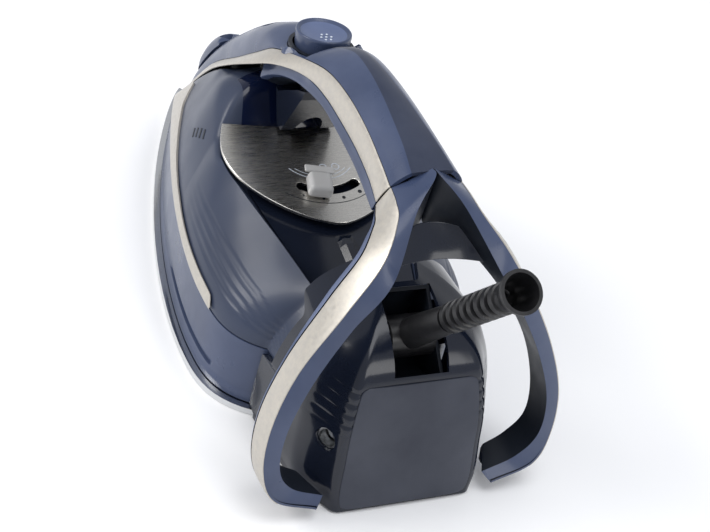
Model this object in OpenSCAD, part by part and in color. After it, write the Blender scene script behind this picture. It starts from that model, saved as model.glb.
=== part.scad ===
// Steam iron with water tank, control plate, fork-shaped heel legs and a swinging cord sleeve.
// Frame: origin in the centre of the ironing face, +X to the nose, +Z up. Millimetres.

/* [Overall size] */
// Length from the nose tip to the heel hooks
body_len = 304; // [260:1:350]
// Width over the soleplate and the legs
body_w = 135; // [115:1:160]
// Height from the ironing face to the top of the handle
body_h = 144.2; // [125:0.1:172]

/* [Shell] */
// Wall of the plastic shells
wall = 2.0; // [1.5:0.1:2.5]
// Gap between neighbouring panels
seam = 0.3; // [0.2:0.05:0.6]
// Thickness of the bright side band
band_t = 0.8; // [0.6:0.1:1.2]
// Width of the bright side band
band_w = 11.3; // [8:0.1:13]

/* [Soleplate and heater] */
// Thickness of the ironing plate
sole_t = 3.0; // [2:0.1:4]
// Radius of a steam hole
steam_r = 1.5; // [1:0.1:2]
// Radius of the heating tube
heater_r = 3.8; // [3:0.1:4]
// Height of the cast heating body
cast_h = 14; // [12:0.5:16]

/* [Steam button] */
// Radius of the steam button
btn_r = 12.5; // [10:0.5:14]
// Travel of the steam button
btn_travel = 4; // [2:0.5:5]
// Radius of the pump piston
piston_r = 4.5; // [3:0.1:4.6]

/* [Steam selector] */
// Distance from the selector pivot to the middle of its slot
sel_arm = 26; // [20:0.5:28]
// Slot half angle
sel_half = 30; // [20:1:34]
// Angle of the selector at rest
sel_rest = 13; // [0:1:18]

/* [Cord sleeve] */
// Length of the cord sleeve from its pivot
boot_len = 98; // [70:1:110]
// Radius of the sleeve's flared mouth
mouth_r = 8.6; // [7:0.1:9]
// Radius of the cord bore
cord_r = 3.6; // [3:0.1:4]

/* [Hidden] */

sx = body_len / 304;
sy = body_w / 135;
sz = body_h / 144.2;
fx = function (x) x * sx;
fy = function (y) y * sy;
fz = function (z) z * sz;
P = function (p) [p[0] * sx, p[1] * sy, p[2] * sz];

// ---------- curves through stations ----------
function seg_at(T, x, i = 0) = (i >= len(T) - 2 || x < T[i + 1][0]) ? i : seg_at(T, x, i + 1);
function slope_at(T, i, k) =
  let (a = max(i - 1, 0), b = min(i + 1, len(T) - 1))
  (T[b][k] - T[a][k]) / (T[b][0] - T[a][0]);
function tabk(T, x, k) =
  let (i = seg_at(T, x), h = T[i + 1][0] - T[i][0], t = (x - T[i][0]) / h,
    m0 = slope_at(T, i, k) * h, m1 = slope_at(T, i + 1, k) * h, a = T[i][k], b = T[i + 1][k])
  (2 * t * t * t - 3 * t * t + 1) * a + (t * t * t - 2 * t * t + t) * m0
  + (3 * t * t - 2 * t * t * t) * b + (t * t * t - t * t) * m1;
function tab(T, x) = [for (k = [1:len(T[0]) - 1]) tabk(T, x, k)];
function steps(a, b, n) = [for (i = [0:n]) a + (b - a) * i / n];
function lerp(a, b, t) = a + (b - a) * t;
function unit(v) = v / norm(v);

// ---------- meshes ----------
// Normal of a grid of points at row i, column j.
function gn(G, i, j) =
  let (n = len(G) - 1, m = len(G[0]) - 1,
    a = G[min(i + 1, n)][j] - G[max(i - 1, 0)][j],
    b = G[i][min(j + 1, m)] - G[i][max(j - 1, 0)])
  unit(cross(a, b));
function tri(a, b, c, d, flip) = flip ? [[a, c, b], [a, d, c]] : [[a, b, c], [a, c, d]];
// Closed sheet of thickness t on a grid; t > 0 grows along the grid normal.
module sheet(G, t, flip = false) {
  n = len(G) - 1;
  m = len(G[0]) - 1;
  o = (n + 1) * (m + 1);
  inner = [for (i = [0:n]) for (j = [0:m]) G[i][j] + t * gn(G, i, j)];
  outer = [for (i = [0:n]) for (j = [0:m]) G[i][j]];
  id = function (i, j) i * (m + 1) + j;
  fl = (t < 0) != flip;
  F = [
    for (i = [0:n - 1]) for (j = [0:m - 1]) each concat(
      tri(id(i, j), id(i + 1, j), id(i + 1, j + 1), id(i, j + 1), fl),
      tri(o + id(i, j), o + id(i, j + 1), o + id(i + 1, j + 1), o + id(i + 1, j), fl)),
    for (i = [0:n - 1]) each concat(
      tri(id(i + 1, 0), id(i, 0), o + id(i, 0), o + id(i + 1, 0), fl),
      tri(id(i, m), id(i + 1, m), o + id(i + 1, m), o + id(i, m), fl)),
    for (j = [0:m - 1]) each concat(
      tri(id(n, j + 1), id(n, j), o + id(n, j), o + id(n, j + 1), fl),
      tri(id(0, j), id(0, j + 1), o + id(0, j + 1), o + id(0, j), fl))];
  polyhedron(concat(outer, inner), F, convexity = 6);
}
// Solid through closed rings, with end caps fanned from ring point k.
module loft(R, k = 0, flip = false) {
  n = len(R) - 1;
  m = len(R[0]);
  F = [
    for (i = [0:n - 1]) for (j = [0:m - 1])
      each tri(i * m + j, (i + 1) * m + j, (i + 1) * m + (j + 1) % m, i * m + (j + 1) % m, flip),
    for (j = [1:m - 2]) flip ? [k, (k + j + 1) % m, (k + j) % m] : [k, (k + j) % m, (k + j + 1) % m],
    for (j = [1:m - 2]) flip
      ? [n * m + k, n * m + (k + j) % m, n * m + (k + j + 1) % m]
      : [n * m + k, n * m + (k + j + 1) % m, n * m + (k + j) % m]];
  polyhedron([for (r = R) each r], F, convexity = 6);
}
module left_right(side) {
  if (side > 0) children();
  else mirror([0, 1, 0]) children();
}

// ---------- soleplate outline ----------
nose_x = 126;
heel_x = -126;
wide_x = -70;
// Half width of the outline drawn in by d, at station x.
function half_w(x, d) =
  let (W = 64 - d, xf = nose_x - 1.7 * d, xr = heel_x + d)
  x > wide_x ? W * pow(max(0, 1 - pow((x - wide_x) / (xf - wide_x), 1.6)), 0.88)
  : W * pow(max(0, 1 - pow((wide_x - x) / (wide_x - xr), 3.4)), 0.5);
function outline(d, n = 26) =
  let (xf = nose_x - 1.7 * d, xr = heel_x + d,
    A = [for (i = [0:n]) wide_x + (xf - wide_x) * cos(90 * i / n)],
    B = [for (i = [1:n - 6]) wide_x - (wide_x - xr) * sin(90 * i / (n - 6))],
    X = concat(A, B))
  concat([for (x = X) [fx(x), fy(half_w(x, d))]],
    [for (i = [len(X) - 2:-1:1]) [fx(X[i]), -fy(half_w(X[i], d))]]);
module plan(d) {
  polygon(outline(d));
}
module ring_plan(d0, d1) {
  difference() {
    plan(d0);
    plan(d1);
  }
}
// Prism whose side view is the polygon pts, across the whole width.
module side_prism(pts, w = 200) {
  rotate([90, 0, 0])
    linear_extrude(w, center = true)
      polygon(pts);
}

// ---------- lines of the body, [station, half width, height] ----------
// Upper edge of the bright band.
TO = [[-127, 16.1, 129.5], [-114, 15, 131.5], [-93, 13.8, 134.4], [-72, 13.3, 135.2],
  [-52, 13.8, 133.3], [-33, 16.3, 127.4], [-8, 18, 116], [5, 18, 106], [25, 17, 90], [62, 12, 62], [81, 10, 42],
  [92, 8.4, 30], [102, 5.5, 18]];
// Lower edge of the bright band.
TU = [[-127, 19.1, 120.2], [-113, 17.2, 122.1], [-93, 15.7, 123.7], [-72, 15.2, 124.5],
  [-59, 15.4, 124.8], [-46, 16.4, 124], [-33, 19, 121], [-18, 23, 114.7], [-3, 25.6, 105], [17, 25.3, 91.4],
  [45, 21, 70.4], [74, 14.8, 44.3], [92, 11, 25], [102, 7.6, 12]];
// Edge of the hand opening.
TE = [[-127, 19.4, 115.7], [-107, 17.7, 117.8], [-93, 16.7, 118.7], [-73, 16.2, 120],
  [-58, 16.3, 120.5], [-39, 17.6, 117.4], [-29, 18.7, 113.4], [-18, 20.6, 106.5], [-3, 23, 95]];
// Ridge of the handle.
TR = [[-127, 9.4, 136.8], [-114, 7.7, 139.7], [-98, 6, 141.9], [-85, 4.8, 143.2], [-71, 3.7, 143.6],
  [-58, 3, 142.9], [-50, 2.8, 141.2], [-42, 3.2, 137.6], [-34, 4.5, 132.5]];
// Crest of the hood.
TH = [[-34, 124.5], [-17, 122], [2, 120], [11, 117], [27, 106.5], [46, 90.5], [70, 68],
  [84, 51], [94, 36], [102, 22]];
// Upper edge of the tank flanks behind the hood.
TF = [[-122, 24, 61], [-110, 27, 63.5], [-80, 33.5, 68], [-60, 38, 70.4], [-46, 40.8, 72],
  [-38, 43, 73.7], [-26, 43, 76], [-16, 38.6, 78]];

// The handle's end plane leans forward going down.
function lean(x, z) = 0.25 * (131 - z) * max(0, min(1, (-95 - x) / 32));
function body_pt(x, y, z) = P([x + lean(x, z), y, z]);

// ---------- handle and hood ----------
// Half section of the handle from the bottom centre to the band, then the ridge, then the top.
function handle_low(x) =
  let (E = tab(TE, x), U = tab(TU, x))
  [[0, E[1] - 4.5], [E[0] * 0.34, E[1] - 4.3], [E[0] * 0.64, E[1] - 3.2], [E[0] * 0.86, E[1] - 1.3], E,
   [lerp(E[0], U[0], 0.5), lerp(E[1], U[1], 0.5)], U];
function handle_top(x) =
  let (O = tab(TO, x), R = tab(TR, x), h = R[1] - O[1])
  [O, [lerp(O[0], R[0], 0.22), O[1] + 0.34 * h], [lerp(O[0], R[0], 0.52), O[1] + 0.66 * h],
   [lerp(O[0], R[0], 0.82), R[1] - 0.1 * h], R, [R[0] * 0.5, R[1] + 0.5], [0, R[1] + 0.6]];
function hood_top(x) =
  let (O = tab(TO, x), c = tab(TH, x)[0])
  [for (i = [0:7]) let (a = i * 90 / 7)
    [O[0] * pow(cos(a), 0.75), O[1] + (c - O[1]) * pow(sin(a), 0.95)]];
// Full width row from a half section that ends on the centre line.
function both(H) = concat(H, [for (i = [len(H) - 2:-1:0]) [-H[i][0], H[i][1]]]);
// Moves the first point of a half section towards the second by the seam.
function trim_first(H, s) = concat([H[0] + s * unit(H[1] - H[0])], [for (i = [1:len(H) - 1]) H[i]]);

module hood_cover() {
  G = [for (x = steps(-33.6, 100, 34))
    [for (q = both(trim_first(hood_top(x), seam + (band_t + 0.9) * (1 - eased((x + 30) / 16))))) body_pt(x, q[0], q[1])]];
  color([0.27, 0.33, 0.45])
  difference() {
    union() {
      difference() {
        sheet(G, wall);
        door_space();
      }
      at_hinge()
        for (s = [-1, 1])
          translate([0, s * (fy(door_w) + 1.5), 0]) rotate([90, 0, 0]) cylinder(r = 2.2, h = 2, center = true, $fn = 32);
    }
    at_hinge() rotate([90, 0, 0]) cylinder(r = 1.24, h = 40, center = true, $fn = 24);
    at_button() cylinder(r = btn_r + 2.6, h = 40, center = true, $fn = 48);
    translate([fx(83), 0, fz(52)]) rotate([0, 60, 0]) cylinder(r = 3.4, h = 60, center = true, $fn = 24);
  }
}
module handle_cover() {
  G = [for (x = steps(-126.9, -34, 26))
    [for (q = both(trim_first(handle_top(x), seam))) body_pt(x, q[0], q[1])]];
  color([0.2, 0.27, 0.41])
  difference() {
    sheet(G, wall);
    at_button() cylinder(r = btn_r + 2.6, h = 40, center = true, $fn = 48);
  }
}
module side_band(side) {
  X = steps(-126.9, 100, 60);
  G = [for (x = X) let (O = tab(TO, x), U = tab(TU, x), m = (O + U) / 2, b = [x < -45 ? 0.8 : 0.5, 0.5])
    [for (q = [O, lerp(O, U, 0.33) + b, lerp(O, U, 0.67) + b, U]) body_pt(x, q[0], q[1])]];
  color([0.78, 0.76, 0.73])
  left_right(side)
    sheet(G, -band_t);
}
module handle_liner() {
  G = [for (x = steps(-126.9, -11, 30))
    let (H = handle_low(x), n = len(H) - 1, f = max(0, (x + 50) / 39),
      g = eased((x + 46) / 8), behind = [(band_t + 0.7) * g + 2.8 * eased((x + 26) / 12), 0],
      H2 = [for (i = [0:n]) i < n - 1 ? H[i] : i < n ? H[i] - 0.7 * behind
        : H[n] + seam * unit(H[n - 1] - H[n]) - behind])
    [for (q = concat([for (i = [n:-1:0]) [-H2[i][0], H2[i][1]]], [for (i = [1:n]) H2[i]]))
      body_pt(x + 0.55 * (q[1] - 96) * f * f, q[0], q[1])]];
  color([0.13, 0.15, 0.2])
  difference() {
    sheet(G, 1.8);
    at_button() cylinder(r = 6.5, h = 80, center = true, $fn = 32);
  }
}

// ---------- steam button and pump ----------
btn_tilt = 6;
module at_button() {
  translate([fx(-17), 0, fz(118)])
    rotate([0, btn_tilt, 0])
      children();
}
btn_top = 12;
module steam_button() {
  color([0.36, 0.42, 0.55])
  at_button() {
    difference() {
      translate([0, 0, 0.5]) cylinder(r = btn_r, h = btn_top - 0.5, $fn = 64);
      translate([0, 0, btn_top + 58.4]) sphere(r = 60, $fn = 48);
      translate([0, 0, -1]) cylinder(r = btn_r - 1.8, h = btn_top - 2.6, $fn = 48);
    }
    translate([0, 0, -4]) cylinder(r = 3, h = btn_top + 2, $fn = 32);
  }
}
module button_collar() {
  color([0.16, 0.19, 0.27])
  at_button() {
    difference() {
      translate([0, 0, -6]) cylinder(r = btn_r + 2.2, h = 11, $fn = 64);
      translate([0, 0, -4.2]) cylinder(r = btn_r + 0.5, h = 20, $fn = 64);
      translate([0, 0, -8]) cylinder(r = 3.4, h = 10, $fn = 32);
    }
  }
}
spring_r = 7;
module button_spring() {
  turns = 3.5;
  nseg = 56;
  wire = 0.55;
  z0 = -4.2 + wire + 0.05;
  z1 = btn_top - 3.6 - wire - 0.3;
  R = [for (i = [0:nseg]) let (a = 360 * turns * i / nseg, z = lerp(z0, z1, i / nseg),
      c = [spring_r * cos(a), spring_r * sin(a), z])
    [for (j = [0:5]) let (b = 60 * j) c + wire * [cos(b) * cos(a), cos(b) * sin(a), sin(b)]]];
  color([0.6, 0.6, 0.62])
  at_button()
    loft(R);
}
module pump_piston() {
  color([0.85, 0.85, 0.82])
  at_button() {
    translate([0, 0, -11]) cylinder(r = 2, h = 7, $fn = 24);
    translate([0, 0, -13.2]) cylinder(r = piston_r, h = 2.4, $fn = 32);
  }
}
module pump_cylinder() {
  color([0.75, 0.76, 0.78])
  at_button()
    difference() {
      union() {
        translate([0, 0, -19]) cylinder(r = piston_r + 1.5, h = 12, $fn = 32);
        translate([0, 0, -22]) cylinder(r = 2, h = 4, $fn = 24);
      }
      translate([0, 0, -17.6]) cylinder(r = piston_r + 0.08, h = 20, $fn = 32);
      translate([0, 0, -30]) cylinder(r = 1, h = 20, $fn = 16);
    }
}

// ---------- filler door ----------
door_x0 = 24;
door_x1 = 68;
door_w = 9;
hinge_z = tabk(TH, door_x0, 1);
door_tilt = atan((tabk(TH, door_x1, 1) - tabk(TH, door_x0, 1)) * sz / ((door_x1 - door_x0) * sx));
module at_hinge() {
  translate([fx(door_x0), 0, fz(hinge_z) - 5])
    children();
}
module door_space() {
  translate([fx(door_x0), 0, fz(hinge_z)])
    rotate([0, -door_tilt, 0])
      translate([-4.2, -fy(door_w) - seam, -14])
        cube([norm([fx(door_x1 - door_x0), fz(hinge_z - tabk(TH, door_x1, 1))]) + 4.2 + seam,
          2 * fy(door_w) + 2 * seam, 40]);
  translate([fx(door_x1) - 12, -fy(door_w) - seam, fz(tabk(TH, door_x1, 1)) - 12])
    cube([12 + seam, 2 * fy(door_w) + 2 * seam, 40]);
}
module filler_door() {
  X = steps(door_x0, door_x1, 14);
  G = [for (x = X) [for (k = [-4:4]) let (y = door_w * k / 4, O = tab(TO, x), c = tab(TH, x)[0],
      s = pow(max(0, 1 - pow(abs(y) / O[0], 2.6)), 0.5))
    P([x, y, O[1] + (c - O[1]) * s])]];
  color([0.33, 0.39, 0.52]) {
    difference() {
      sheet(G, -1.8);
      at_hinge() rotate([90, 0, 0]) cylinder(r = 1.3, h = 40, center = true, $fn = 24);
    }
    at_hinge()
      difference() {
        rotate([90, 0, 0]) cylinder(r = 2.6, h = 10, center = true, $fn = 32);
        rotate([90, 0, 0]) cylinder(r = 1.3, h = 40, center = true, $fn = 24);
      }
  }
}
module door_pin() {
  color([0.7, 0.7, 0.72])
  at_hinge() {
    rotate([90, 0, 0]) cylinder(r = 1.22, h = 2 * fy(door_w) + 4.4, center = true, $fn = 24);
  }
}

// ---------- nose ----------
module nose_cap() {
  R = [for (x = steps(71, 92.5, 10)) let (s = (x - 71) / 21.5, c = tabk(TH, x, 1),
      top = 71 - 4 * s - 18.5 * s * s, w = 8.4 - 1.4 * s * s, lo = c + 0.8)
    [for (k = [0:8]) let (a = 180 * k / 8)
      P([x, w * cos(a), lo + (max(top, lo + 1.5) - lo) * pow(sin(a), 0.6)])]];
  color([0.38, 0.44, 0.56])
  difference() {
    loft(R, 0, true);
    translate([fx(83), 0, fz(52)]) rotate([0, 60, 0]) cylinder(r = 3.4, h = 60, center = true, $fn = 24);
  }
}
module spray_nozzle() {
  color([0.5, 0.52, 0.55])
  translate([fx(83), 0, fz(52)]) rotate([0, 60, 0])
    difference() {
      union() {
        translate([0, 0, -10]) cylinder(r = 3.1, h = 16.4, $fn = 32);
      }
      translate([0, 0, -12]) cylinder(r = 1.4, h = 14, $fn = 24);
      translate([0, 0, 1]) cylinder(r = 0.5, h = 10, $fn = 16);
      translate([0, 0, 5.6]) cylinder(r = 2, h = 4, $fn = 24);
    }
}
neck_r = 7;
module filler_neck() {
  zc = fz(tabk(TH, 52, 1));
  color([0.2, 0.22, 0.28])
  translate([fx(52), 0, zc])
    difference() {
      translate([0, 0, -26]) cylinder(r = neck_r, h = 17, $fn = 48);
      translate([0, 0, -27]) cylinder(r = 5.2, h = 40, $fn = 48);
      rotate([0, -door_tilt, 0]) translate([-20, -20, -7]) cube([40, 40, 30]);
    }
}

// ---------- lower body ----------
module soleplate() {
  color([0.72, 0.73, 0.75])
  difference() {
    linear_extrude(sole_t) plan(0);
    for (s = [-1, 1]) {
      for (i = [0:9]) {
        x = 84 - 17 * i;
        translate([fx(x), s * fy(half_w(x, 19)), -1]) cylinder(r = steam_r, h = sole_t + 2, $fn = 20);
      }
      for (i = [0:5]) {
        x = 58 - 19 * i;
        translate([fx(x), s * fy(half_w(x, 31)), -1]) cylinder(r = steam_r, h = sole_t + 2, $fn = 20);
      }
    }
    translate([fx(97), 0, -1]) cylinder(r = steam_r, h = sole_t + 2, $fn = 20);
  }
}
boss = [[66, 0], [-84, 36], [-84, -36]];
cast_z = sole_t;
cover_z = sole_t + cast_h + 1;
module heating_casting() {
  color([0.6, 0.61, 0.63])
  difference() {
    translate([0, 0, cast_z]) linear_extrude(cast_h) plan(11);
    difference() {
      translate([0, 0, cast_z - 1]) linear_extrude(3) ring_plan(15, 35);
      for (x = [-60, 10]) translate([fx(x) - 3, -80, 0]) cube([6, 160, 12]);
    }
    difference() {
      translate([0, 0, cast_z + cast_h - 4]) linear_extrude(6) plan(17);
      for (b = boss) translate([fx(b[0]), fy(b[1]), 0]) cylinder(r = 6, h = 40, $fn = 32);
      for (k = [-3:2]) translate([fx(k * 20), (k % 2) * 12 - 14, 0]) cube([2, 28, 40]);
    }
    for (b = boss) translate([fx(b[0]), fy(b[1]), cast_z + 4]) cylinder(r = 2.1, h = 30, $fn = 24);
    heater_path(heater_r + 0.05);
    for (s = [-1, 1])
      translate([fx(-106) - 9, s * fy(heat_y), cast_z + 5.6]) rotate([0, 90, 0]) cylinder(r = 1.26, h = 10, $fn = 20);
    for (s = [-1, 1]) for (x = [84 - 17 * 4, 84 - 17 * 7])
      translate([fx(x), s * fy(half_w(x, 19)), 0]) cylinder(r = 2, h = 40, $fn = 20);
  }
}
heat_y = 30;
module heater_path(r) {
  z = cast_z + 5.6;
  for (s = [-1, 1])
    translate([fx(-106), s * fy(heat_y), z]) rotate([0, 90, 0]) cylinder(r = r, h = fx(112), $fn = 32);
  translate([fx(6), 0, z])
    rotate([0, 0, -90])
      rotate_extrude(angle = 180, $fn = 64) translate([fy(heat_y), 0]) circle(r = r, $fn = 32);
}
module heating_element() {
  color([0.45, 0.42, 0.4]) {
    heater_path(heater_r);
    for (s = [-1, 1])
      translate([fx(-106) - 7, s * fy(heat_y), cast_z + 5.6]) rotate([0, 90, 0]) cylinder(r = 1.2, h = 10, $fn = 20);
  }
}
module chamber_gasket() {
  color([0.55, 0.2, 0.12])
  translate([0, 0, cast_z + cast_h])
    difference() {
      linear_extrude(1) ring_plan(12, 16.5);
      for (b = boss) translate([fx(b[0]), fy(b[1]), -1]) cylinder(r = 3, h = 4, $fn = 24);
    }
}
module chamber_cover() {
  color([0.7, 0.7, 0.7])
  translate([0, 0, cover_z])
    difference() {
      linear_extrude(2) plan(12);
      for (b = boss) translate([fx(b[0]), fy(b[1]), -1]) cylinder(r = 2.3, h = 4, $fn = 24);
      translate([fx(30), 0, -1]) cylinder(r = 2.6, h = 4, $fn = 24);
    }
}
module cover_screws() {
  color([0.5, 0.5, 0.52])
  for (b = boss) translate([fx(b[0]), fy(b[1]), cover_z]) {
    translate([0, 0, 2]) difference() {
      cylinder(r = 4, h = 2.6, $fn = 32);
      translate([-0.5, -4.5, 1.6]) cube([1, 9, 2]);
    }
    translate([0, 0, -9]) cylinder(r = 2, h = 11.2, $fn = 24);
  }
}
// Control plate plane.
plate_ang = atan(0.2 * sz / sx);
plate_top = 77.6;
module at_plate() {
  translate([fx(-30), 0, fz(plate_top)])
    rotate([0, -plate_ang, 0])
      children();
}
shaft_len = (fz(plate_top) - cover_z - 4.5) / cos(plate_ang) - 2;
module thermostat() {
  color([0.82, 0.8, 0.75])
  at_plate()
    difference() {
      translate([0, 0, -shaft_len - 2]) cylinder(r = 11, h = 5, $fn = 48);
      translate([0, 0, -shaft_len + 0.5]) cylinder(r = 3.06, h = 12, $fn = 32);
    }
  color([0.6, 0.6, 0.6])
  translate([fx(-30) + sin(plate_ang) * shaft_len, 0, cover_z + 2])
    for (s = [-1, 1]) translate([-6, s * 9 - 1, 0]) cube([12, 2, 4]);
}
module thermal_fuse() {
  color([0.85, 0.83, 0.7]) {
    translate([fx(-62), fy(14), cover_z + 2 + 3]) rotate([0, 90, 0]) cylinder(r = 3, h = 22, center = true, $fn = 32);
    translate([fx(-62), fy(14), cover_z + 2 + 3]) rotate([0, 90, 0]) cylinder(r = 0.6, h = 36, center = true, $fn = 16);
  }
}
low_line = [[-140, 33.8], [40, 33.8], [70, 30.6], [90, 23.6], [104, 13], [120, 6]];
module skirt() {
  color([0.3, 0.36, 0.48])
  difference() {
    translate([0, 0, fz(3.6)]) linear_extrude(fz(30.6)) ring_plan(4, 6.2);
    side_prism([for (p = concat(low_line, [[140, 6], [140, 60], [-140, 60]])) [fx(p[0]), fz(p[1])]]);
    intersection() {
      translate([0, 0, fz(9.8)]) linear_extrude(3) ring_plan(3, 4.9);
      translate([fx(-92), -150, 0]) cube([fx(66), 300, 40]);
    }
  }
}
module waist_ring() {
  color([0.12, 0.13, 0.17])
  intersection() {
    translate([0, 0, fz(20)]) linear_extrude(fz(13.6)) ring_plan(6.8, 9);
    side_prism([for (p = [[-140, 25], [40, 25], [75, 21], [88, 17.5], [88, 24], [70, 30.6], [40, 33.6], [-140, 33.6]])
      [fx(p[0]), fz(p[1])]]);
  }
}
module tank_floor() {
  color([0.3, 0.36, 0.48])
  difference() {
    union() {
      translate([0, 0, fz(31.2)]) intersection() {
        linear_extrude(2) plan(9.3);
        translate([-300, -200, -1]) cube([300 + fx(78), 400, 10]);
      }
      at_plate() translate([0, 0, -shaft_len + 3]) cylinder(r = 6, h = shaft_len - 3 - 9.4, $fn = 40);
      translate([fx(30), 0, fz(31.2)]) cylinder(r = 5, h = 6, $fn = 32);
    }
    at_plate() translate([0, 0, -shaft_len]) cylinder(r = 4.4, h = shaft_len, $fn = 40);
    translate([fx(30), 0, 10]) cylinder(r = 2.6, h = 60, $fn = 24);
  }
}
module dosing_valve() {
  color([0.8, 0.6, 0.35])
  difference() {
    union() {
      translate([fx(30), 0, cover_z]) cylinder(r = 2.45, h = fz(31.2) + 9 - cover_z, $fn = 24);
      translate([fx(30), 0, cover_z + 2.2]) cylinder(r = 4.4, h = 3, $fn = 32);
    }
    translate([fx(30), 0, cover_z - 1]) cylinder(r = 1, h = 60, $fn = 16);
  }
}

// ---------- water tank ----------
// Base line of the flank.
function base_z(x) = 34.4 - 3 * max(0, min(1, (x - 40) / 30)) - 7 * max(0, min(1, (x - 70) / 20));
function plate_z(x) = 80 + 0.2 * (x + 18);
function eased(t) = let (k = max(0, min(1, t))) k * k * (3 - 2 * k);
// Point of the flank at station x and share s of the way from its base to its shoulder.
function flank(x, s) =
  let (z0 = base_z(x), y0 = max(half_w(x, 4.6), x < -105 ? 43 : 0))
  x > -15
    ? let (U = tab(TU, max(x, -3)), w = eased((x + 13) / 33), t = 0.84 * s)
      lerp([lerp(y0, 38.6, pow(s, 1.75)), lerp(z0, 79, s)],
        [lerp(y0, U[0], pow(t, 1.75)), lerp(z0, U[1] - 0.9, t)], w)
    : let (f = tab(TF, x)) [lerp(y0, f[0], pow(s, 1.75)), lerp(z0, f[1], s)];
// Half section: the flank, then the wall or the roof.
function tank_row(x) =
  concat([for (k = [0:8]) flank(x, k / 8)],
    x > -15
    ? let (U = tab(TU, max(x, -3)), uz = U[1] - 2 * band_t, w = eased((x + 13) / 33))
      [lerp([33.5, 92], flank(x, 1.095), w), [U[0], uz], [U[0] * 0.5, uz + 0.8], [0, uz + 1]]
    : let (f = tab(TF, x), r = plate_z(x) - 6.8) [[f[0] - 4.2, r], [f[0] * 0.6, r], [f[0] * 0.3, r], [0, r]]);
module water_tank() {
  X = concat(steps(-120, -16.5, 23), steps(-11.5, 86, 23));
  A = [for (x = X) [for (q = both(tank_row(x)))
    let (xs = x + (x > -15 ? 0.55 * max(0, q[1] - 80) * max(0, 1 - (x + 13) / 45) : 0))
    P([xs, q[0], xs > -3 ? min(q[1], tab(TU, xs)[1] - 2.5 * band_t) : q[1]])]];
  B = [for (q = both(tank_row(-120))) P([-120.6, q[0] * 0.08, 34.4 + (q[1] - 34.4) * 0.9])];
  color([0.27, 0.33, 0.46, 0.75])
  difference() {
    sheet(concat([B], A), wall);
    at_plate() translate([0, 0, -14]) cylinder(r = 4.4, h = 12, $fn = 40);
    translate([fx(52), 0, 0]) cylinder(r = neck_r, h = 200, $fn = 48);
  }
}
// Upper edge of the lower trim, as a share of the flank.
TS = [[-84, 0.14], [-78, 0.17], [-40, 0.165], [0, 0.19], [10, 0.21], [20, 0.27], [30, 0.36],
  [40, 0.48], [46, 0.57], [52, 0.78], [58, 0.97], [86, 0.97]];
module lower_trim(side) {
  G = [for (x = steps(-84, 85, 40)) let (u = tab(TS, x)[0])
    [for (k = [0:5]) let (q = flank(x, 0.01 + (u - 0.01) * k / 5)) P([x, q[0] + 0.25, q[1]])]];
  color([0.78, 0.76, 0.73])
  left_right(side)
    sheet(G, -1.2);
}
module rear_deck() {
  G = [for (x = steps(-111.5, -47, 20)) let (f = tab(TF, x), r = plate_z(x) - 5.2,
      b = 2.2 * max(0, min(1, (-76 - x) / 4)))
    [for (q = both([[f[0] - 5, r], [f[0] * 0.6, r], [4, r], [1.6, r + b], [0, r + b]]))
      P([x, q[0], q[1]])]];
  color([0.07, 0.08, 0.1])
  sheet(G, 1);
}
module front_pillar() {
  color([0.08, 0.09, 0.11])
  difference() {
    side_prism([for (p = [[-16.6, 81.4], [-8.2, 96], [-11, 95.4], [-18, 100.6], [-29, 108],
      [-36, 111.6], [-34, 106], [-21.5, 81.4]]) [fx(p[0]), fz(p[1])]], 2 * fy(13));
    at_button() cylinder(r = 6.5, h = 80, center = true, $fn = 32);
  }
}

// ---------- control plate and selector ----------
function plate_half(s) =
  43 * pow(sin(90 * min(1, s / 0.75)), 0.62) - (s > 0.75 ? 5 * pow((s - 0.75) / 0.25, 2) : 0);
module plate_plan() {
  S = [for (i = [0:24]) pow(i / 24, 1.6)];
  L = [for (s = S) [fx(-44 + 56 * s + 4.5 * pow(s, 8)) / cos(plate_ang), fy(plate_half(s))]];
  F = [for (y = [30, 20, 10, 0, -10, -20, -30]) [fx(11.1 + 0.142 * abs(y)) / cos(plate_ang), fy(y)]];
  polygon(concat([for (i = [1:24]) L[i]], F, [for (i = [24:-1:1]) [L[i][0], -L[i][1]]]));
}
module arc_slot(r, w, half) {
  rotate([0, 0, 180 - half])
    rotate_extrude(angle = 2 * half, $fn = 96)
      translate([r - w / 2, -4]) square([w, 8]);
  for (s = [-1, 1])
    rotate([0, 0, 180 + s * half]) translate([r, 0, -4]) cylinder(d = w, h = 8, $fn = 24);
}
module control_plate() {
  color([0.72, 0.72, 0.7])
  at_plate()
    difference() {
      translate([0, 0, -1.6]) linear_extrude(1.6) plate_plan();
      arc_slot(sel_arm, 4.4, sel_half);
    }
}
module at_selector() {
  at_plate()
    rotate([0, 0, 180 - sel_rest])
      children();
}
module selector_knob() {
  color([0.93, 0.93, 0.93])
  at_selector() {
    hull()
      for (a = [-1, 1]) for (b = [-1, 1])
        translate([sel_arm + a * 4, b * 3.6, 0.4]) cylinder(r1 = 2, r2 = 1.4, h = 6, $fn = 24);
    translate([sel_arm - 7.6, -6.8, 4.4]) cube([3.4, 13.6, 1.6]);
    translate([sel_arm, 0, -2.4]) cylinder(r = 1.9, h = 3, $fn = 24);
  }
}
module selector_arm() {
  color([0.15, 0.15, 0.16])
  at_selector()
    translate([0, 0, -4.4]) {
      cylinder(r = 5, h = 2, $fn = 40);
      translate([sel_arm, 0, 0]) cylinder(r = 3.4, h = 2, $fn = 32);
      translate([0, -2.6, 0]) cube([sel_arm, 5.2, 2]);
    }
}
module selector_shaft() {
  color([0.8, 0.78, 0.7])
  at_plate()
    translate([0, 0, -shaft_len + 0.7]) cylinder(r = 3, h = shaft_len - 0.7 - 4.4, $fn = 32);
}

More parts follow.
